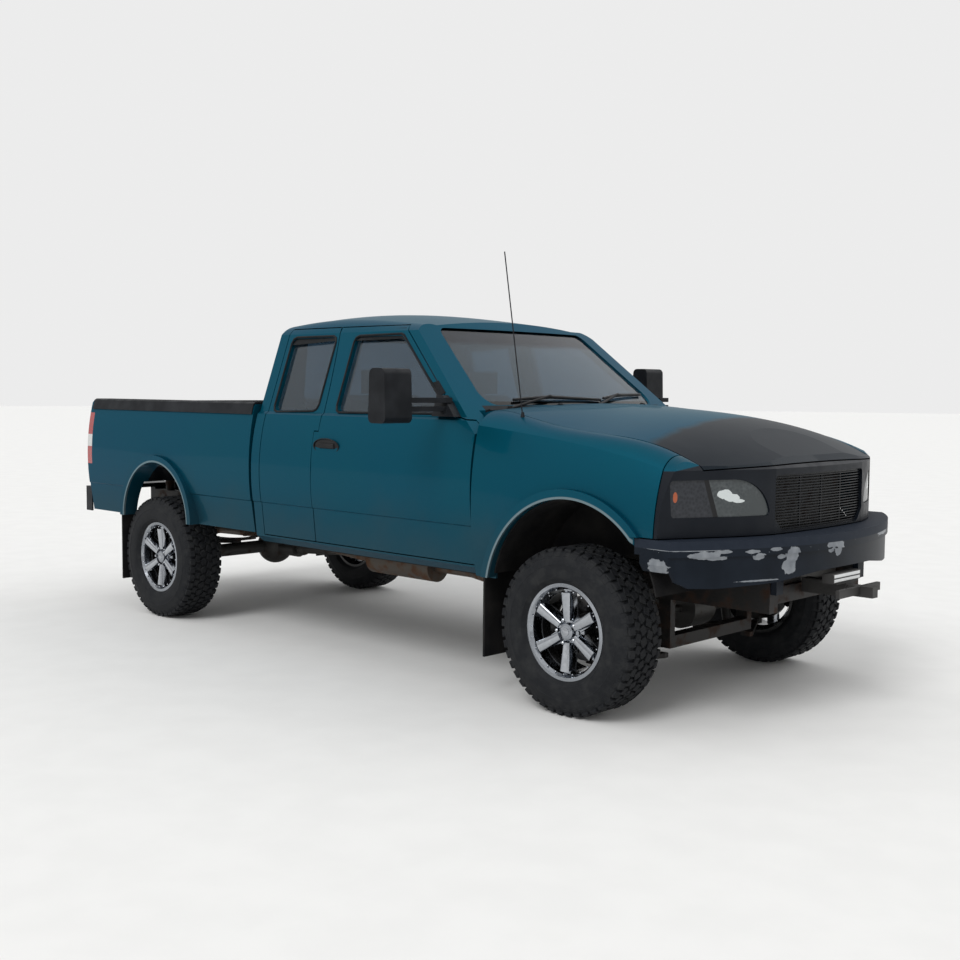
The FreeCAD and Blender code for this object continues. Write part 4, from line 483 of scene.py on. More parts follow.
def headlamp_finish():
    """Smoky housing behind a clear lens, with an amber marker outboard and a painted highlight in the bulb's
    reflector.
    """
    lamp = Finish("headlamp_housing_lens", Coat_Weight=0.3, Coat_Roughness=0.03, Specular_IOR_Level=0.2)
    side, height = lamp.side(), lamp.axis("Z")
    facets = lamp.node("TexVoronoi", lamp.place, None, 70.0)
    ribs = lamp.ramp(lamp.noise(7, 3), 0.35, 0.7)
    smoke = lamp.mix(facets, (0.010, 0.012, 0.016, 1), (0.030, 0.033, 0.040, 1))
    lean = lamp.calc("ADD", side, lamp.calc("MULTIPLY", height, -0.27))
    inner = lamp.ramp(lean, 0.456, 0.444)
    silver = lamp.mix(facets, (0.030, 0.036, 0.040, 1), (0.085, 0.095, 0.098, 1))
    silver = lamp.mix(ribs, silver, (0.050, 0.058, 0.060, 1))
    colour = lamp.mix(inner, smoke, silver)
    divider = lamp.ramp(lamp.calc("ABSOLUTE", lamp.calc("SUBTRACT", lean, 0.45)), 0.013, 0.009)
    # painted highlight: pale spots in the reflectors behind the lens
    reflector_highlight = lamp.spots(both_sides(LAMP_REFLECTOR_HIGHLIGHT), 0.3, 40)
    colour = lamp.mix(reflector_highlight, colour, (0.62, 0.66, 0.66, 1))
    amber = lamp.spots(both_sides(LAMP_MARKER), 0.15, 30)
    colour = lamp.mix(amber, colour, (0.34, 0.085, 0.035, 1))
    colour = lamp.mix(divider, colour, (0.003, 0.003, 0.004, 1))
    lamp.colour(colour)
    lamp.link("Roughness", lamp.ramp(reflector_highlight, 0, 1, 0.3, 0.15))
    lamp.link("Metallic", lamp.calc("MULTIPLY", reflector_highlight, 0.5))
    lamp.bump(facets, 0.1, 0.002)
    return lamp.material


def tail_lamp_finish():
    """Red lens with a pale reversing window, ribbed inside."""
    lamp = Finish("tail_lamp_lens", Coat_Weight=1.0, Coat_Roughness=0.05, Roughness=0.25)
    ribs = lamp.node("TexWave", lamp.place, 60.0, 0.0, bands_direction="Z")
    red = lamp.mix(ribs, (0.22, 0.008, 0.01, 1), (0.38, 0.02, 0.02, 1))
    height = lamp.axis("Z")
    white = lamp.calc("MULTIPLY", lamp.ramp(height, 1.105, 1.11), lamp.ramp(height, 1.195, 1.19))
    lamp.colour(lamp.mix(white, red, (0.55, 0.56, 0.55, 1)))
    lamp.bump(ribs, 0.3, 0.002)
    return lamp.material


# lenses of the light bar, in metres: heights of the two rows, face, middle and half length
LENS_ROWS = (0.664, 0.685)
LENS_FACE, LENS_MIDDLE, LENS_HALF = 2.662, -0.0375, 0.12


def light_bar_finish():
    """Black receiver, hook and bracket; the light bar's two rows of lenses are pale."""
    bar = Finish("receiver_and_light_bar")
    rows = None
    for level in LENS_ROWS:
        row = bar.ramp(bar.calc("ABSOLUTE", bar.calc("SUBTRACT", bar.axis("Z"), level)), 0.0078, 0.0065)
        rows = row if rows is None else bar.calc("MAXIMUM", rows, row)
    front = bar.ramp(bar.axis("X"), LENS_FACE, LENS_FACE + 0.006)
    offset = bar.calc("ABSOLUTE", bar.calc("SUBTRACT", bar.axis("Y"), LENS_MIDDLE))
    lens = bar.product(rows, front, bar.ramp(offset, LENS_HALF + 0.006, LENS_HALF))
    base = bar.mix(bar.noise(20, 5), (0.012, 0.012, 0.013, 1), (0.03, 0.028, 0.026, 1))
    bar.colour(bar.mix(lens, base, (0.72, 0.74, 0.74, 1)))
    bar.link("Roughness", bar.ramp(lens, 0, 1, 0.55, 0.15))
    bar.bump(bar.noise(140, 4), 0.2, 0.001)
    return bar.material


def seat_cloth():
    """Woven grey seat cloth with darker bolsters."""
    cloth = Finish("seat_cloth_woven", Sheen_Weight=0.3, Roughness=0.9)
    weave_x = cloth.node("TexWave", cloth.place, 260.0, 0.5, bands_direction="X")
    weave_y = cloth.node("TexWave", cloth.place, 260.0, 0.5, bands_direction="Y")
    weave = cloth.calc("MULTIPLY", weave_x, weave_y)
    cloth.colour(cloth.mix(weave, (0.055, 0.058, 0.062, 1), (0.11, 0.115, 0.12, 1)))
    cloth.bump(weave, 0.4, 0.001)
    return cloth.material


# Modelling helpers

def link_object(name, data):
    """A new object in the scene that holds the given data."""
    made = bpy.data.objects.new(name, data)
    bpy.context.scene.collection.objects.link(made)
    return made


def piece(bm, name, material, body, replaced=(), smooth=True):
    """A finished mesh as an object that rides on a body."""
    mesh = bpy.data.meshes.new(name)
    bm.to_mesh(mesh)
    bm.free()
    for face in mesh.polygons:
        face.use_smooth = smooth
    made = link_object(name, mesh)
    mesh.materials.append(material)
    if smooth:
        mesh.set_sharp_from_angle(angle=math.radians(32))
    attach(made, body)
    if replaced:
        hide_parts(*replaced)
    return made


def add_block(bm, size, matrix, chamfer=0.0):
    """A box of a given size, with its edges bevelled, put in place by a matrix."""
    made = bmesh.ops.create_cube(bm, size=1.0, matrix=matrix @ Matrix.Diagonal((*size, 1)))
    if chamfer:
        edges = list({edge for vert in made["verts"] for edge in vert.link_edges})
        bmesh.ops.bevel(bm, geom=edges, offset=chamfer, affect="EDGES", segments=1, profile=0.5, material=-1)


def add_bar(bm, start, end, radius, tip=None, segments=12):
    """A round bar between two points, tapered if a tip radius is given."""
    start, end = Vector(start), Vector(end)
    turn = (end - start).to_track_quat("Z", "Y").to_matrix().to_4x4()
    matrix = Matrix.Translation((start + end) / 2) @ turn
    bmesh.ops.create_cone(bm, cap_ends=True, segments=segments, radius1=radius,
                          radius2=radius if tip is None else tip, depth=(end - start).length, matrix=matrix)


def add_plate(bm, outline, thickness):
    """A flat outline given in space, thickened along its own normal."""
    verts = [bm.verts.new(point) for point in outline]
    face = bm.faces.new(verts)
    face.normal_update()
    offset = face.normal * thickness
    grown = bmesh.ops.extrude_face_region(bm, geom=[face], use_keep_orig=True)
    moved = [item for item in grown["geom"] if isinstance(item, bmesh.types.BMVert)]
    bmesh.ops.translate(bm, verts=moved, vec=offset)
    bmesh.ops.recalc_face_normals(bm, faces=bm.faces)


def add_turned(bm, profile, steps):
    """A section of radius and distance across, turned all the way round the wheel's axle."""
    verts = [bm.verts.new((0, across, radius)) for across, radius in profile]
    edges = [bm.edges.new(pair) for pair in zip(verts, verts[1:] + verts[:1])]
    bmesh.ops.spin(bm, geom=verts + edges, cent=(0, 0, 0), axis=(0, 1, 0), angle=math.tau,
                   steps=steps, use_merge=True)
    bmesh.ops.recalc_face_normals(bm, faces=bm.faces)


def around(angle, across, radius):
    """The matrix of a place on a wheel: turned round its axle, out along its radius."""
    return Matrix.Rotation(angle, 4, "Y") @ Matrix.Translation((0, across, radius))


def set_on_axle(bm, axle, side):
    """Moves a wheel piece, modelled with its outside towards +Y, to its place on the truck."""
    turn = Matrix.Identity(4) if side > 0 else Matrix.Rotation(math.pi, 4, "Z")
    matrix = Matrix.Translation((axle, side * TRACK_HALF, WHEEL_LEVEL)) @ turn
    bmesh.ops.transform(bm, matrix=matrix, verts=bm.verts)


def surface(node, start, direction):
    """Where a ray first meets a CAD node."""
    hit, place, _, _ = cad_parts[node].ray_cast(Vector(start), Vector(direction))
    if not hit:
        raise RuntimeError(f"no surface of {node} from {start}")
    return place


def skin_point(node, x, z, side, gap=0.0):
    """The outer surface of a CAD node at a place on the truck's side."""
    return surface(node, (x, side * 2, z), (0, -side, 0)) + Vector((0, side * gap, 0))


# Operators

# radii of the tyre, in metres: the ground of its tread and the top of its blocks
TREAD_GROUND, TREAD_TOP = 0.3875, 0.3995


def tyre_profile():
    """Carcass of the tyre: bead, bulged sidewall with two ribs, and the ground of the tread."""
    half = TYRE_HALF
    side = [
        (half - 0.0300, 0.2170), (half - 0.0270, 0.2300), (half - 0.0160, 0.2400), (half - 0.0060, 0.2520),
        (half - 0.0035, 0.2545), (half - 0.0030, 0.2580), (half - 0.0012, 0.2620), (half + 0.0010, 0.2820),
        (half + 0.0016, 0.3000), (half + 0.0010, 0.3180), (half + 0.0022, 0.3200), (half + 0.0020, 0.3240),
        (half - 0.0012, 0.3300), (half - 0.0050, 0.3460), (half - 0.0110, 0.3620), (half - 0.0190, 0.3760),
        (half - 0.0300, 0.3850), (half - 0.0500, TREAD_GROUND), (0.02, TREAD_GROUND + 0.0015),
    ]
    return side + [(-across, radius) for across, radius in reversed(side)]


def add_tread(bm, blocks, depth):
    """Staggered tread blocks: two middle rows, two outer rows, and lugs over each shoulder."""
    pitch = math.tau / blocks
    length = TREAD_TOP * pitch
    tall = depth + 0.004
    for number in range(blocks):
        lug = (0.68, 0.022, 0.009) if number % 2 else (0.50, 0.030, 0.009)
        # each row's block (share of the pitch, width, height), its shift, place across and radius,
        # the axis and angle that it is turned by, and its bevel
        rows = (
            ((0.70, 0.038, tall), (0.0, 0.024, TREAD_TOP - tall / 2), ("Z", 24), 0.002),
            ((0.72, 0.035, tall), (0.42, 0.064, TREAD_TOP - 0.0008 - tall / 2), ("Z", -18), 0.002),
            ((0.70, 0.034, depth + 0.008), (0.1, 0.1, 0.3880), ("X", -16), 0.0025),
            (lug, (0.1, TYRE_HALF - 0.0175, 0.3680), ("X", -62), 0.002),
        )
        for side in (-1, 1):
            start = number + (0.5 if side > 0 else 0)
            for (share, width, height), (shift, across, radius), (axis, degrees), bevel in rows:
                turn = Matrix.Rotation(math.radians(degrees * side), 4, axis)
                place = around((start + shift) * pitch, side * across, radius)
                add_block(bm, (length * share, width, height), place @ turn, bevel)


class TRUCK_OT_tyres(bpy.types.Operator):
    """Four chunky tyres in place of the plain ones"""
    bl_idname = "truck.tyres"
    bl_label = "Tyres"

    def execute(self, context):
        settings = context.scene.truck_tyres
        rubber = tyre_rubber()
        for name, axle, side in WHEELS:
            bm = bmesh.new()
            add_turned(bm, tyre_profile(), 96)
            add_tread(bm, settings.blocks, settings.tread_depth)
            set_on_axle(bm, axle, side)
            made = piece(bm, f"tread_tyre_{name}", rubber, f"wheel_{name}", [f"tyre_{name}"])
        return {"FINISHED"}


# what a wheel has, and radii of the rings on it, in metres
SPOKES, LUG_NUTS = 6, 5
RIVET_RING, NUT_RING, VALVE_RING = 0.2005, 0.057, 0.186


def add_spokes(bm):
    """Rounded, polished crowns along the spokes, wider towards the lip."""
    start, end = Vector((0, TYRE_HALF - 0.044, 0.052)), Vector((0, TYRE_HALF - 0.032, 0.188))
    lean = Vector((0, 0, 1)).rotation_difference((end - start).normalized()).to_matrix().to_4x4()
    crown = Matrix.Translation((start + end) / 2) @ lean @ Matrix.Diagonal((1, 0.36, 1, 1))
    for number in range(SPOKES):
        turn = Matrix.Rotation(number * math.tau / SPOKES, 4, "Y")
        bmesh.ops.create_cone(bm, cap_ends=True, segments=20, radius1=0.0185, radius2=0.0275,
                              depth=(end - start).length, matrix=turn @ crown)


def add_cap(bm):
    """The domed cap at the middle of a wheel."""
    level = TYRE_HALF - 0.036
    profile = [(level + 0.006, 0.0), (level + 0.005, 0.012), (level + 0.002, 0.019), (level - 0.002, 0.021)]
    verts = [bm.verts.new((0, across, radius)) for across, radius in profile]
    edges = [bm.edges.new(pair) for pair in zip(verts, verts[1:])]
    bmesh.ops.spin(bm, geom=verts + edges, cent=(0, 0, 0), axis=(0, 1, 0), angle=math.tau,
                   steps=32, use_merge=True)
    bmesh.ops.remove_doubles(bm, verts=bm.verts, dist=0.00005)


class TRUCK_OT_wheel_trim(bpy.types.Operator):
    """Rivets round each rim, polished spokes, a domed centre cap, lug nuts and a valve"""
    bl_idname = "truck.wheel_trim"
    bl_label = "Wheel Trim"

    def execute(self, context):
        settings = context.scene.truck_wheels
        steel = Finish("wheel_hardware_chrome", Metallic=1.0)
        steel.colour(steel.mix(steel.noise(60, 4), (0.34, 0.36, 0.39, 1), (0.52, 0.54, 0.57, 1)))
        steel.link("Roughness", steel.ramp(steel.noise(40, 4), 0.3, 0.7, 0.08, 0.2))
        for name, axle, side in WHEELS:
            bm = bmesh.new()
            for number in range(settings.rivets):
                head = around(number * math.tau / settings.rivets, TYRE_HALF - 0.0275, RIVET_RING)
                bmesh.ops.create_uvsphere(bm, u_segments=10, v_segments=6,
                                          radius=settings.rivet_radius, matrix=head)
            add_spokes(bm)
            add_cap(bm)
            for number in range(LUG_NUTS):
                angle = math.radians(18) + number * math.tau / LUG_NUTS
                base = around(angle, TYRE_HALF - 0.0545, NUT_RING).translation
                add_bar(bm, base, base + Vector((0, 0.020, 0)), 0.0102, 0.0085, 6)
                add_bar(bm, base + Vector((0, 0.020, 0)), base + Vector((0, 0.0235, 0)), 0.0085, 0.004, 12)
            valve = around(math.radians(30), TYRE_HALF - 0.046, VALVE_RING).translation
            add_bar(bm, valve, valve + Vector((0, 0.022, 0)), 0.0035, 0.003, 8)
            bmesh.ops.recalc_face_normals(bm, faces=bm.faces)
            set_on_axle(bm, axle, side)
            made = piece(bm, f"wheel_trim_{name}", steel.material, f"wheel_{name}")
        return {"FINISHED"}


# plane of the side windows, in metres: half width at the belt, the belt's height, and the lean
GLASS_HALF, GLASS_BELT, GLASS_LEAN = 0.879, 1.401, 0.3587


def window_plane(x, z, side, proud):
    """A point on the leaning plane of the side windows, stood out by a given distance."""
    return Vector((x, side * (GLASS_HALF + proud - (z - GLASS_BELT) * GLASS_LEAN), z))


# outlines of the vent visors: place along the truck and height
FRONT_VISOR = [
    (-0.010, 1.852), (0.020, 1.866), (0.420, 1.866), (0.470, 1.846), (0.870, 1.512), (0.826, 1.494),
    (0.452, 1.794), (0.405, 1.806), (-0.002, 1.800),
]
REAR_VISOR = [
    (-0.575, 1.850), (-0.560, 1.866), (-0.140, 1.866), (-0.118, 1.852), (-0.124, 1.806), (-0.560, 1.786),
]


class TRUCK_OT_window_trim(bpy.types.Operator):
    """Smoked vent visors over the side windows"""
    bl_idname = "truck.window_trim"
    bl_label = "Window Trim"

    def execute(self, context):
        smoke = plain_plastic("visor_smoked_plastic", (0.002, 0.003, 0.004, 1), (0.006, 0.008, 0.010, 1),
                              0.3, 300, 0.02)
        for tag, side in SIDES:
            for place, outline in (("front", FRONT_VISOR), ("rear", REAR_VISOR)):
                bm = bmesh.new()
                # the upper edge lies closer to the window than the lower one
                points = [window_plane(x, z, side, 0.026 if z < 1.83 else 0.016) for x, z in outline]
                if side < 0:
                    points.reverse()
                add_plate(bm, points, -0.003)
                bmesh.ops.triangulate(bm, faces=bm.faces)
                made = piece(bm, f"visor_{place}_{tag}", smoke, f"{place}_door_{tag}")
        return {"FINISHED"}


# the front doors' handles, in metres: place along the truck, and height
HANDLE_PLACE, HANDLE_HEIGHT = 0.016, 1.205


class TRUCK_OT_door_handles(bpy.types.Operator):
    """Oval door handles, each with a rim and a paddle"""
    bl_idname = "truck.door_handles"
    bl_label = "Door Handles"

    def execute(self, context):
        black = plain_plastic("handle_black_plastic", (0.010, 0.010, 0.011, 1), (0.022, 0.022, 0.023, 1),
                              0.35, 600, 0.1)
        for tag, side in SIDES:
            node = f"front_door_{tag}"
            bm = bmesh.new()
            centre = skin_point(node, HANDLE_PLACE, HANDLE_HEIGHT, side)
            top = skin_point(node, HANDLE_PLACE, HANDLE_HEIGHT + 0.03, side)
            lean = math.atan2(abs(centre.y) - abs(top.y), 0.03)
            matrix = Matrix.Translation(centre) @ Matrix.Rotation(-side * lean, 4, "X")
            oval = Matrix.Diagonal((0.112, 0.004, 0.042, 1))
            bmesh.ops.create_uvsphere(bm, u_segments=40, v_segments=16, radius=1.0, matrix=matrix @ oval)
            rim = matrix @ Matrix.Translation((0, side * 0.0035, 0)) @ Matrix.Diagonal((1, 1, 0.42, 1))
            ring = bmesh.new()
            bmesh.ops.create_circle(ring, segments=8, radius=0.0045, matrix=Matrix.Translation((0.108, 0, 0)))
            bmesh.ops.spin(ring, geom=list(ring.verts) + list(ring.edges), cent=(0, 0, 0), axis=(0, 1, 0),
                           angle=math.tau, steps=48, use_merge=True)
            bmesh.ops.transform(ring, matrix=rim, verts=ring.verts)
            bmesh.ops.recalc_face_normals(ring, faces=ring.faces)
            holder = bpy.data.meshes.new("ring")
            ring.to_mesh(holder)
            ring.free()
            bm.from_mesh(holder)
            bpy.data.meshes.remove(holder)
            paddle = matrix @ Matrix.Translation((0.006, side * 0.007, 0.004))
            add_block(bm, (0.135, 0.009, 0.030), paddle, 0.004)
            made = piece(bm, f"door_handle_{tag}", black, node)
        return {"FINISHED"}


def on_glass(y, z, proud):
    """A point that stands out from the windshield."""
    return surface("windshield", (2.0, y, z), (-1, 0, 0)) + Vector((0.5, 0, 0.85)).normalized() * proud


# each wiper's pivot, and the start, middle and end of its blade: place across the truck, and height
WIPERS = [
    ((1.083, -0.60, 1.434), (-0.53, 1.468), (-0.26, 1.478), (0.16, 1.468)),
    ((1.108, 0.08, 1.440), (0.20, 1.476), (0.36, 1.488), (0.655, 1.497)),
]


class TRUCK_OT_wipers(bpy.types.Operator):
    """Two parked wipers"""
    bl_idname = "truck.wipers"
    bl_label = "Wipers"

    def execute(self, context):
        black = plain_plastic("wiper_black", (0.008, 0.008, 0.009, 1), (0.02, 0.02, 0.021, 1), 0.4, 400, 0.1)
        bm = bmesh.new()
        for pivot, first, middle, last in WIPERS:
            pivot = Vector(pivot)
            first = on_glass(*first, 0.012)
            last = on_glass(*last, 0.012)
            middle = on_glass(*middle, 0.018)
            hold = middle + Vector((0.006, 0, 0.008))
            add_bar(bm, pivot - Vector((0, 0, 0.02)), pivot + Vector((0, 0, 0.012)), 0.017, 0.013, 16)
            add_bar(bm, pivot, hold, 0.0095, 0.006, 10)
            add_bar(bm, first, middle, 0.0075, 0.010, 10)
            add_bar(bm, middle, last, 0.010, 0.0075, 10)
            add_bar(bm, hold, middle, 0.008, 0.008, 8)
        wipers = piece(bm, "wipers", black, "chassis_and_cab")
        return {"FINISHED"}


# outlines of the side windows: place along the truck and height, round each rounded corner
FRONT_SEAL = [
    (0.030, 1.434), (0.030, 1.788), (0.040, 1.812), (0.064, 1.822), (0.405, 1.822), (0.426, 1.814),
    (0.848, 1.468), (0.861, 1.443), (0.852, 1.417), (0.827, 1.407), (0.064, 1.400), (0.040, 1.410),
]
REAR_SEAL = [
    (-0.549, 1.430), (-0.549, 1.790), (-0.539, 1.814), (-0.515, 1.824), (-0.183, 1.824), (-0.159, 1.814),
    (-0.149, 1.790), (-0.149, 1.442), (-0.159, 1.418), (-0.183, 1.407), (-0.515, 1.396), (-0.539, 1.406),
]
# how far outside its window a seal runs, and its radius, in metres
SEAL_OFFSET, SEAL_RADIUS = 0.010, 0.0075


class TRUCK_OT_fittings(bpy.types.Operator):
    """Tailgate handle, washer nozzles and the black seals round the side windows"""
    bl_idname = "truck.fittings"
    bl_label = "Fittings"

    def execute(self, context):
        black = plain_plastic("fitting_black_plastic", (0.003, 0.004, 0.005, 1), (0.010, 0.011, 0.013, 1),
                              0.4, 500, 0.1)
        place = surface("tailgate", (-4, 0, 1.24), (1, 0, 0))
        bm = bmesh.new()
        add_block(bm, (0.008, 0.26, 0.085), Matrix.Translation(place - Vector((0.003, 0, 0))), 0.003)
        add_block(bm, (0.016, 0.20, 0.036), Matrix.Translation(place - Vector((0.012, 0, -0.012))), 0.005)
        handle = piece(bm, "tailgate_handle", black, "tailgate")

        bm = bmesh.new()
        for side in (-1, 1):
            place = surface("hood", (1.22, side * 0.36, 2), (0, 0, -1))
            dome = Matrix.Translation(place) @ Matrix.Diagonal((0.020, 0.011, 0.009, 1))
            bmesh.ops.create_uvsphere(bm, u_segments=20, v_segments=10, radius=1.0, matrix=dome)
            jet = Matrix.Translation(place + Vector((-0.006, 0, 0.007)))
            add_block(bm, (0.010, 0.012, 0.006), jet, 0.0015)
        nozzles = piece(bm, "washer_nozzles", black, "hood")

        for tag, side in SIDES:
            for place, outline in (("front", FRONT_SEAL), ("rear", REAR_SEAL)):
                bm = bmesh.new()
                node = f"{place}_door_{tag}"
                middle = sum((Vector(point) for point in outline), Vector((0, 0))) / len(outline)
                points = []
                for point in outline:
                    x, z = Vector(point) + (Vector(point) - middle).normalized() * SEAL_OFFSET
                    points.append(skin_point(node, x, z, side, -0.001))
                for start, end in zip(points, points[1:] + points[:1]):
                    add_bar(bm, start, end, SEAL_RADIUS, segments=10)
                    bmesh.ops.create_uvsphere(bm, u_segments=10, v_segments=6, radius=SEAL_RADIUS,
                                              matrix=Matrix.Translation(end))
                seal = piece(bm, f"window_seal_{place}_{tag}", black, node)
        return {"FINISHED"}


def pair(name):
    """Names of the left and the right one of two like nodes."""
    return [f"{name}_left", f"{name}_right"]


# which finish each CAD node carries
NODE_FINISHES = {
    "body": ["cab_shell", *pair("front_door"), *pair("rear_door"), *pair("fender"), "cargo_box", "tailgate"],
    "hood": ["hood"],
    "nose": ["nose_panel"],
    "bumper": ["front_bumper"],
    "trim": ["cowl_panel", *pair("mirror"), "bed_rail_caps", "antenna"],
    "gloss": ["grille", "rear_bumper"],
    "flaps": ["mud_flaps", "wheel_liners"],
    "glass": [*pair("front_door_glass"), *pair("rear_door_glass"), "rear_window"],
    "shield": ["windshield"],
    "lamps": ["headlamps"],
    "tail": ["tail_lamps"],
    "alloy": [f"rim_{name}" for name, _, _ in WHEELS],
    "chassis": ["frame", "front_suspension", "rear_springs", *pair("knuckle")],
    "driveline": ["front_drive", "rear_axle", "drive_shafts", "powertrain", "radiator"],
    "exhaust": ["exhaust"],
    "tank": ["fuel_tank"],
    "bar": ["front_receiver"],
    "cloth": ["seats"],
    "dash": ["dashboard"],
    "rubber": [f"tyre_{name}" for name, _, _ in WHEELS],
}


class TRUCK_OT_finishes(bpy.types.Operator):
    """Paint, metal, glass, plastic and cloth for every panel and fitting"""
    bl_idname = "truck.finishes"
    bl_label = "Finishes"

    def execute(self, context):
        settings = context.scene.truck_paint
        steel = (0.010, 0.010, 0.011, 1)
        rust = (0.040, 0.019, 0.011, 1)
        made = {
            "body": metallic_paint(settings),
            "hood": hood_paint(settings),
            "nose": black_paint(settings),
            "bumper": bumper_paint(),
            "trim": plain_plastic("trim_black_plastic", (0.006, 0.007, 0.009, 1),
                                  (0.016, 0.018, 0.021, 1), 0.5),
            "gloss": plain_plastic("grille_gloss_black", (0.005, 0.006, 0.008, 1),
                                   (0.012, 0.014, 0.018, 1), 0.3, 300, 0.05),
            "flaps": plain_plastic("flap_rubber", (0.006, 0.006, 0.007, 1),
                                   (0.018, 0.017, 0.016, 1), 0.8, 120),
            "glass": tinted_glass("door_glass_tinted", (0.13, 0.20, 0.26, 1), 0.9),
            "shield": windshield_glass(),
            "lamps": headlamp_finish(),
            "tail": tail_lamp_finish(),
            "alloy": wheel_alloy(),
            "chassis": chassis_metal("chassis_steel_rusty", steel, rust, 0.5),
            "driveline": chassis_metal("driveline_cast_metal", (0.06, 0.06, 0.058, 1), rust, 0.3),
            "exhaust": chassis_metal("exhaust_steel", (0.10, 0.085, 0.07, 1), (0.13, 0.06, 0.03, 1), 0.8),
            "tank": plain_plastic("tank_plastic", (0.012, 0.012, 0.013, 1), (0.05, 0.046, 0.04, 1), 0.6),
            "bar": light_bar_finish(),
            "cloth": seat_cloth(),
            "dash": plain_plastic("dash_grained_plastic", (0.028, 0.029, 0.031, 1),
                                  (0.05, 0.051, 0.053, 1), 0.6, 250, 0.5),
            "rubber": plain_plastic("plain_tyre_rubber", (0.012, 0.012, 0.012, 1),
                                    (0.04, 0.038, 0.034, 1), 0.8),
        }
        for key, names in NODE_FINISHES.items():
            for name in names:
                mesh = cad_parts[name].data
                mesh.materials.clear()
                mesh.materials.append(made[key])
        missing = set(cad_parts) - {name for names in NODE_FINISHES.values() for name in names}
        if missing:
            raise RuntimeError(f"nodes with no finish: {sorted(missing)}")
        return {"FINISHED"}


FLOOR_RADIUS = 90.0
# brightness of the studio: overhead, round the horizon, and as the camera sees it
STUDIO_TOP, STUDIO_HORIZON, STUDIO_SEEN = 0.85, 0.55, 0.84


def add_floor(colour):
    """A wide pale floor with faint cloudy patches."""
    floor = bmesh.new()
    bmesh.ops.create_circle(floor, cap_ends=True, segments=96, radius=FLOOR_RADIUS)
    mesh = bpy.data.meshes.new("floor")
    floor.to_mesh(mesh)
    floor.free()
    ground = link_object("floor", mesh)
    pale = Finish("floor_pale", Roughness=0.8)
    speck = pale.ramp(pale.noise(4, 4), 0.3, 0.7)
    pale.colour(pale.mix(speck, colour, tuple(min(1, channel * 1.03) for channel in colour)))
    mesh.materials.append(pale.material)


def add_studio(scene):
    """Light from all round, brighter overhead, that the camera sees as one even tone."""
    world = bpy.data.worlds.new("studio")
    scene.world = world
    world.use_nodes = True
    tree = world.node_tree
    height = tree.nodes.new("ShaderNodeSeparateXYZ")
    place = tree.nodes.new("ShaderNodeTexCoord")
    tree.links.new(place.outputs["Generated"], height.inputs[0])
    shade = tree.nodes.new("ShaderNodeMapRange")
    tree.links.new(height.outputs["Z"], shade.inputs["Value"])
    for key, value in (("From Max", 0.7), ("To Min", STUDIO_HORIZON), ("To Max", STUDIO_TOP)):
        shade.inputs[key].default_value = value
    path = tree.nodes.new("ShaderNodeLightPath")
    seen = tree.nodes.new("ShaderNodeMath")
    seen.operation = "MAXIMUM"
    tree.links.new(path.outputs["Is Camera Ray"], seen.inputs[0])
    tree.links.new(path.outputs["Is Transmission Ray"], seen.inputs[1])
    pick = tree.nodes.new("ShaderNodeMix")
    pick.inputs["B"].default_value = STUDIO_SEEN
    tree.links.new(seen.outputs[0], pick.inputs["Factor"])
    tree.links.new(shade.outputs[0], pick.inputs["A"])
    tree.links.new(pick.outputs[0], tree.nodes["Background"].inputs["Color"])


def add_lights():
    """A soft key light, and a weaker light from behind."""
    for name, softness, strength, tilt, turn in (
        ("key_light", 0.5, 1.5, 48, 12),
        ("rim_light", 0.8, 0.5, 55, 150),
    ):
        lamp = bpy.data.lights.new(name, "SUN")
        lamp.energy = strength
        lamp.angle = softness
        link_object(name, lamp).rotation_euler = (math.radians(tilt), 0, math.radians(turn))


def add_camera(scene, lens):
    """The camera that was fitted to the photograph."""
    data = bpy.data.cameras.new("camera")
    data.sensor_width = 36
    data.lens = lens
    data.clip_start = 0.1
    data.clip_end = 300
    camera = link_object("camera", data)
    level = math.cos(CAMERA_PITCH)
    ahead = Vector((level * math.cos(CAMERA_YAW), level * math.sin(CAMERA_YAW), math.sin(CAMERA_PITCH)))
    right = ahead.cross(Vector((0, 0, 1))).normalized()
    up = right.cross(ahead)
    tilted_right = math.cos(CAMERA_ROLL) * right + math.sin(CAMERA_ROLL) * up
    tilted_up = -math.sin(CAMERA_ROLL) * right + math.cos(CAMERA_ROLL) * up
    turn = Matrix((tilted_right, tilted_up, -ahead)).transposed().to_4x4()
    camera.matrix_world = Matrix.Translation(CAMERA_PLACE) @ turn
    scene.camera = camera


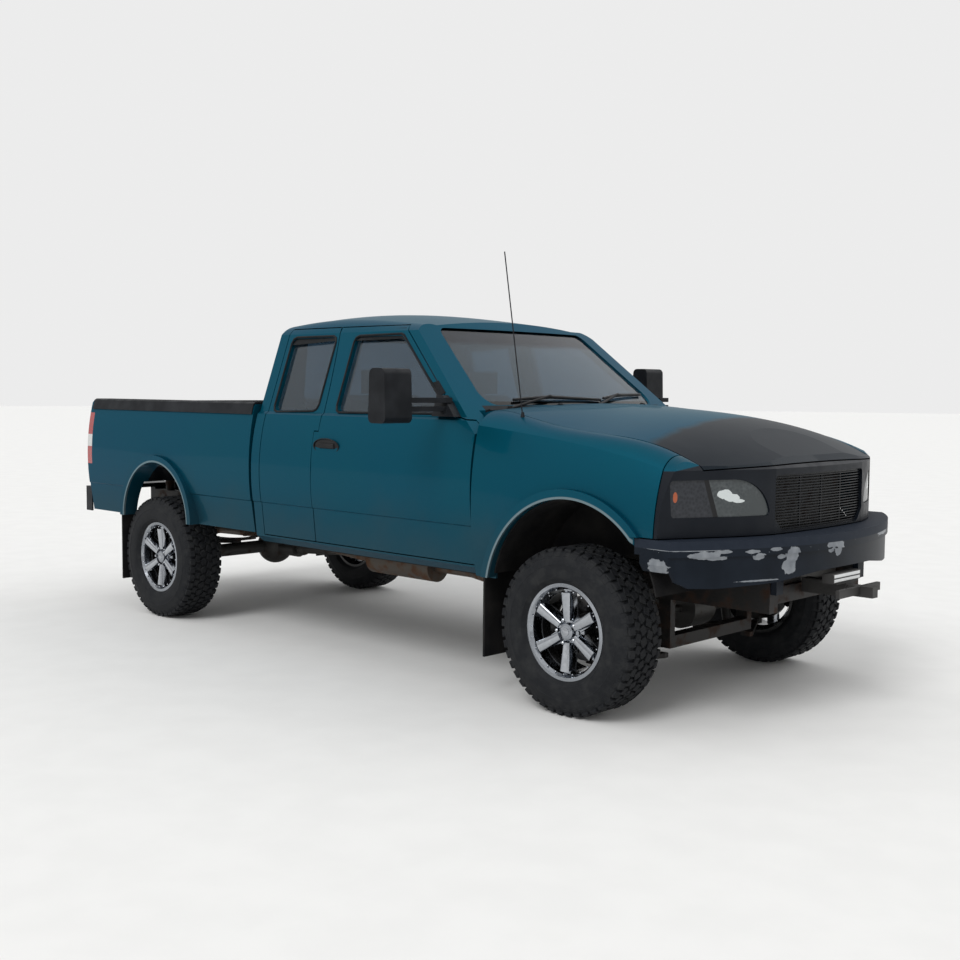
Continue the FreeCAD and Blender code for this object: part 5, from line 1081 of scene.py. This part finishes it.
class TRUCK_OT_stage(bpy.types.Operator):
    """Pale floor, soft studio light and the camera"""
    bl_idname = "truck.stage"
    bl_label = "Stage"

    def execute(self, context):
        scene = context.scene
        add_floor(tuple(scene.truck_stage.floor))
        add_studio(scene)
        add_lights()
        add_camera(scene, scene.truck_stage.lens)
        scene.view_settings.view_transform = "Standard"
        return {"FINISHED"}


class TRUCK_PT_panel(bpy.types.Panel):
    """Lists the pieces of the truck's dressing"""
    bl_idname = "TRUCK_PT_panel"
    bl_label = "Pickup Truck"
    bl_space_type = "VIEW_3D"
    bl_region_type = "UI"
    bl_category = "Truck"

    def draw(self, context):
        layout = self.layout
        scene = context.scene
        for group in (scene.truck_paint, scene.truck_tyres, scene.truck_wheels, scene.truck_stage):
            box = layout.box()
            for key in group.bl_rna.properties.keys():
                if key not in ("rna_type", "name"):
                    box.prop(group, key)
        for operator in OPERATORS:
            layout.operator(operator.bl_idname)


SETTINGS = {
    "truck_paint": PaintSettings,
    "truck_tyres": TyreSettings,
    "truck_wheels": WheelSettings,
    "truck_stage": StageSettings,
}
OPERATORS = (
    TRUCK_OT_finishes, TRUCK_OT_tyres, TRUCK_OT_wheel_trim, TRUCK_OT_window_trim, TRUCK_OT_door_handles,
    TRUCK_OT_wipers, TRUCK_OT_fittings, TRUCK_OT_stage,
)


def register():
    for group in SETTINGS.values():
        bpy.utils.register_class(group)
    for operator in OPERATORS + (TRUCK_PT_panel,):
        bpy.utils.register_class(operator)
    for name, group in SETTINGS.items():
        setattr(bpy.types.Scene, name, bpy.props.PointerProperty(type=group))


def unregister():
    for name in SETTINGS:
        delattr(bpy.types.Scene, name)
    for operator in OPERATORS + (TRUCK_PT_panel,):
        bpy.utils.unregister_class(operator)
    for group in SETTINGS.values():
        bpy.utils.unregister_class(group)


def main():
    register()
    bpy.ops.truck.finishes()
    bpy.ops.truck.tyres()
    bpy.ops.truck.wheel_trim()
    bpy.ops.truck.window_trim()
    bpy.ops.truck.door_handles()
    bpy.ops.truck.wipers()
    bpy.ops.truck.fittings()
    bpy.ops.truck.stage()


if __name__ == "__main__":
    main()
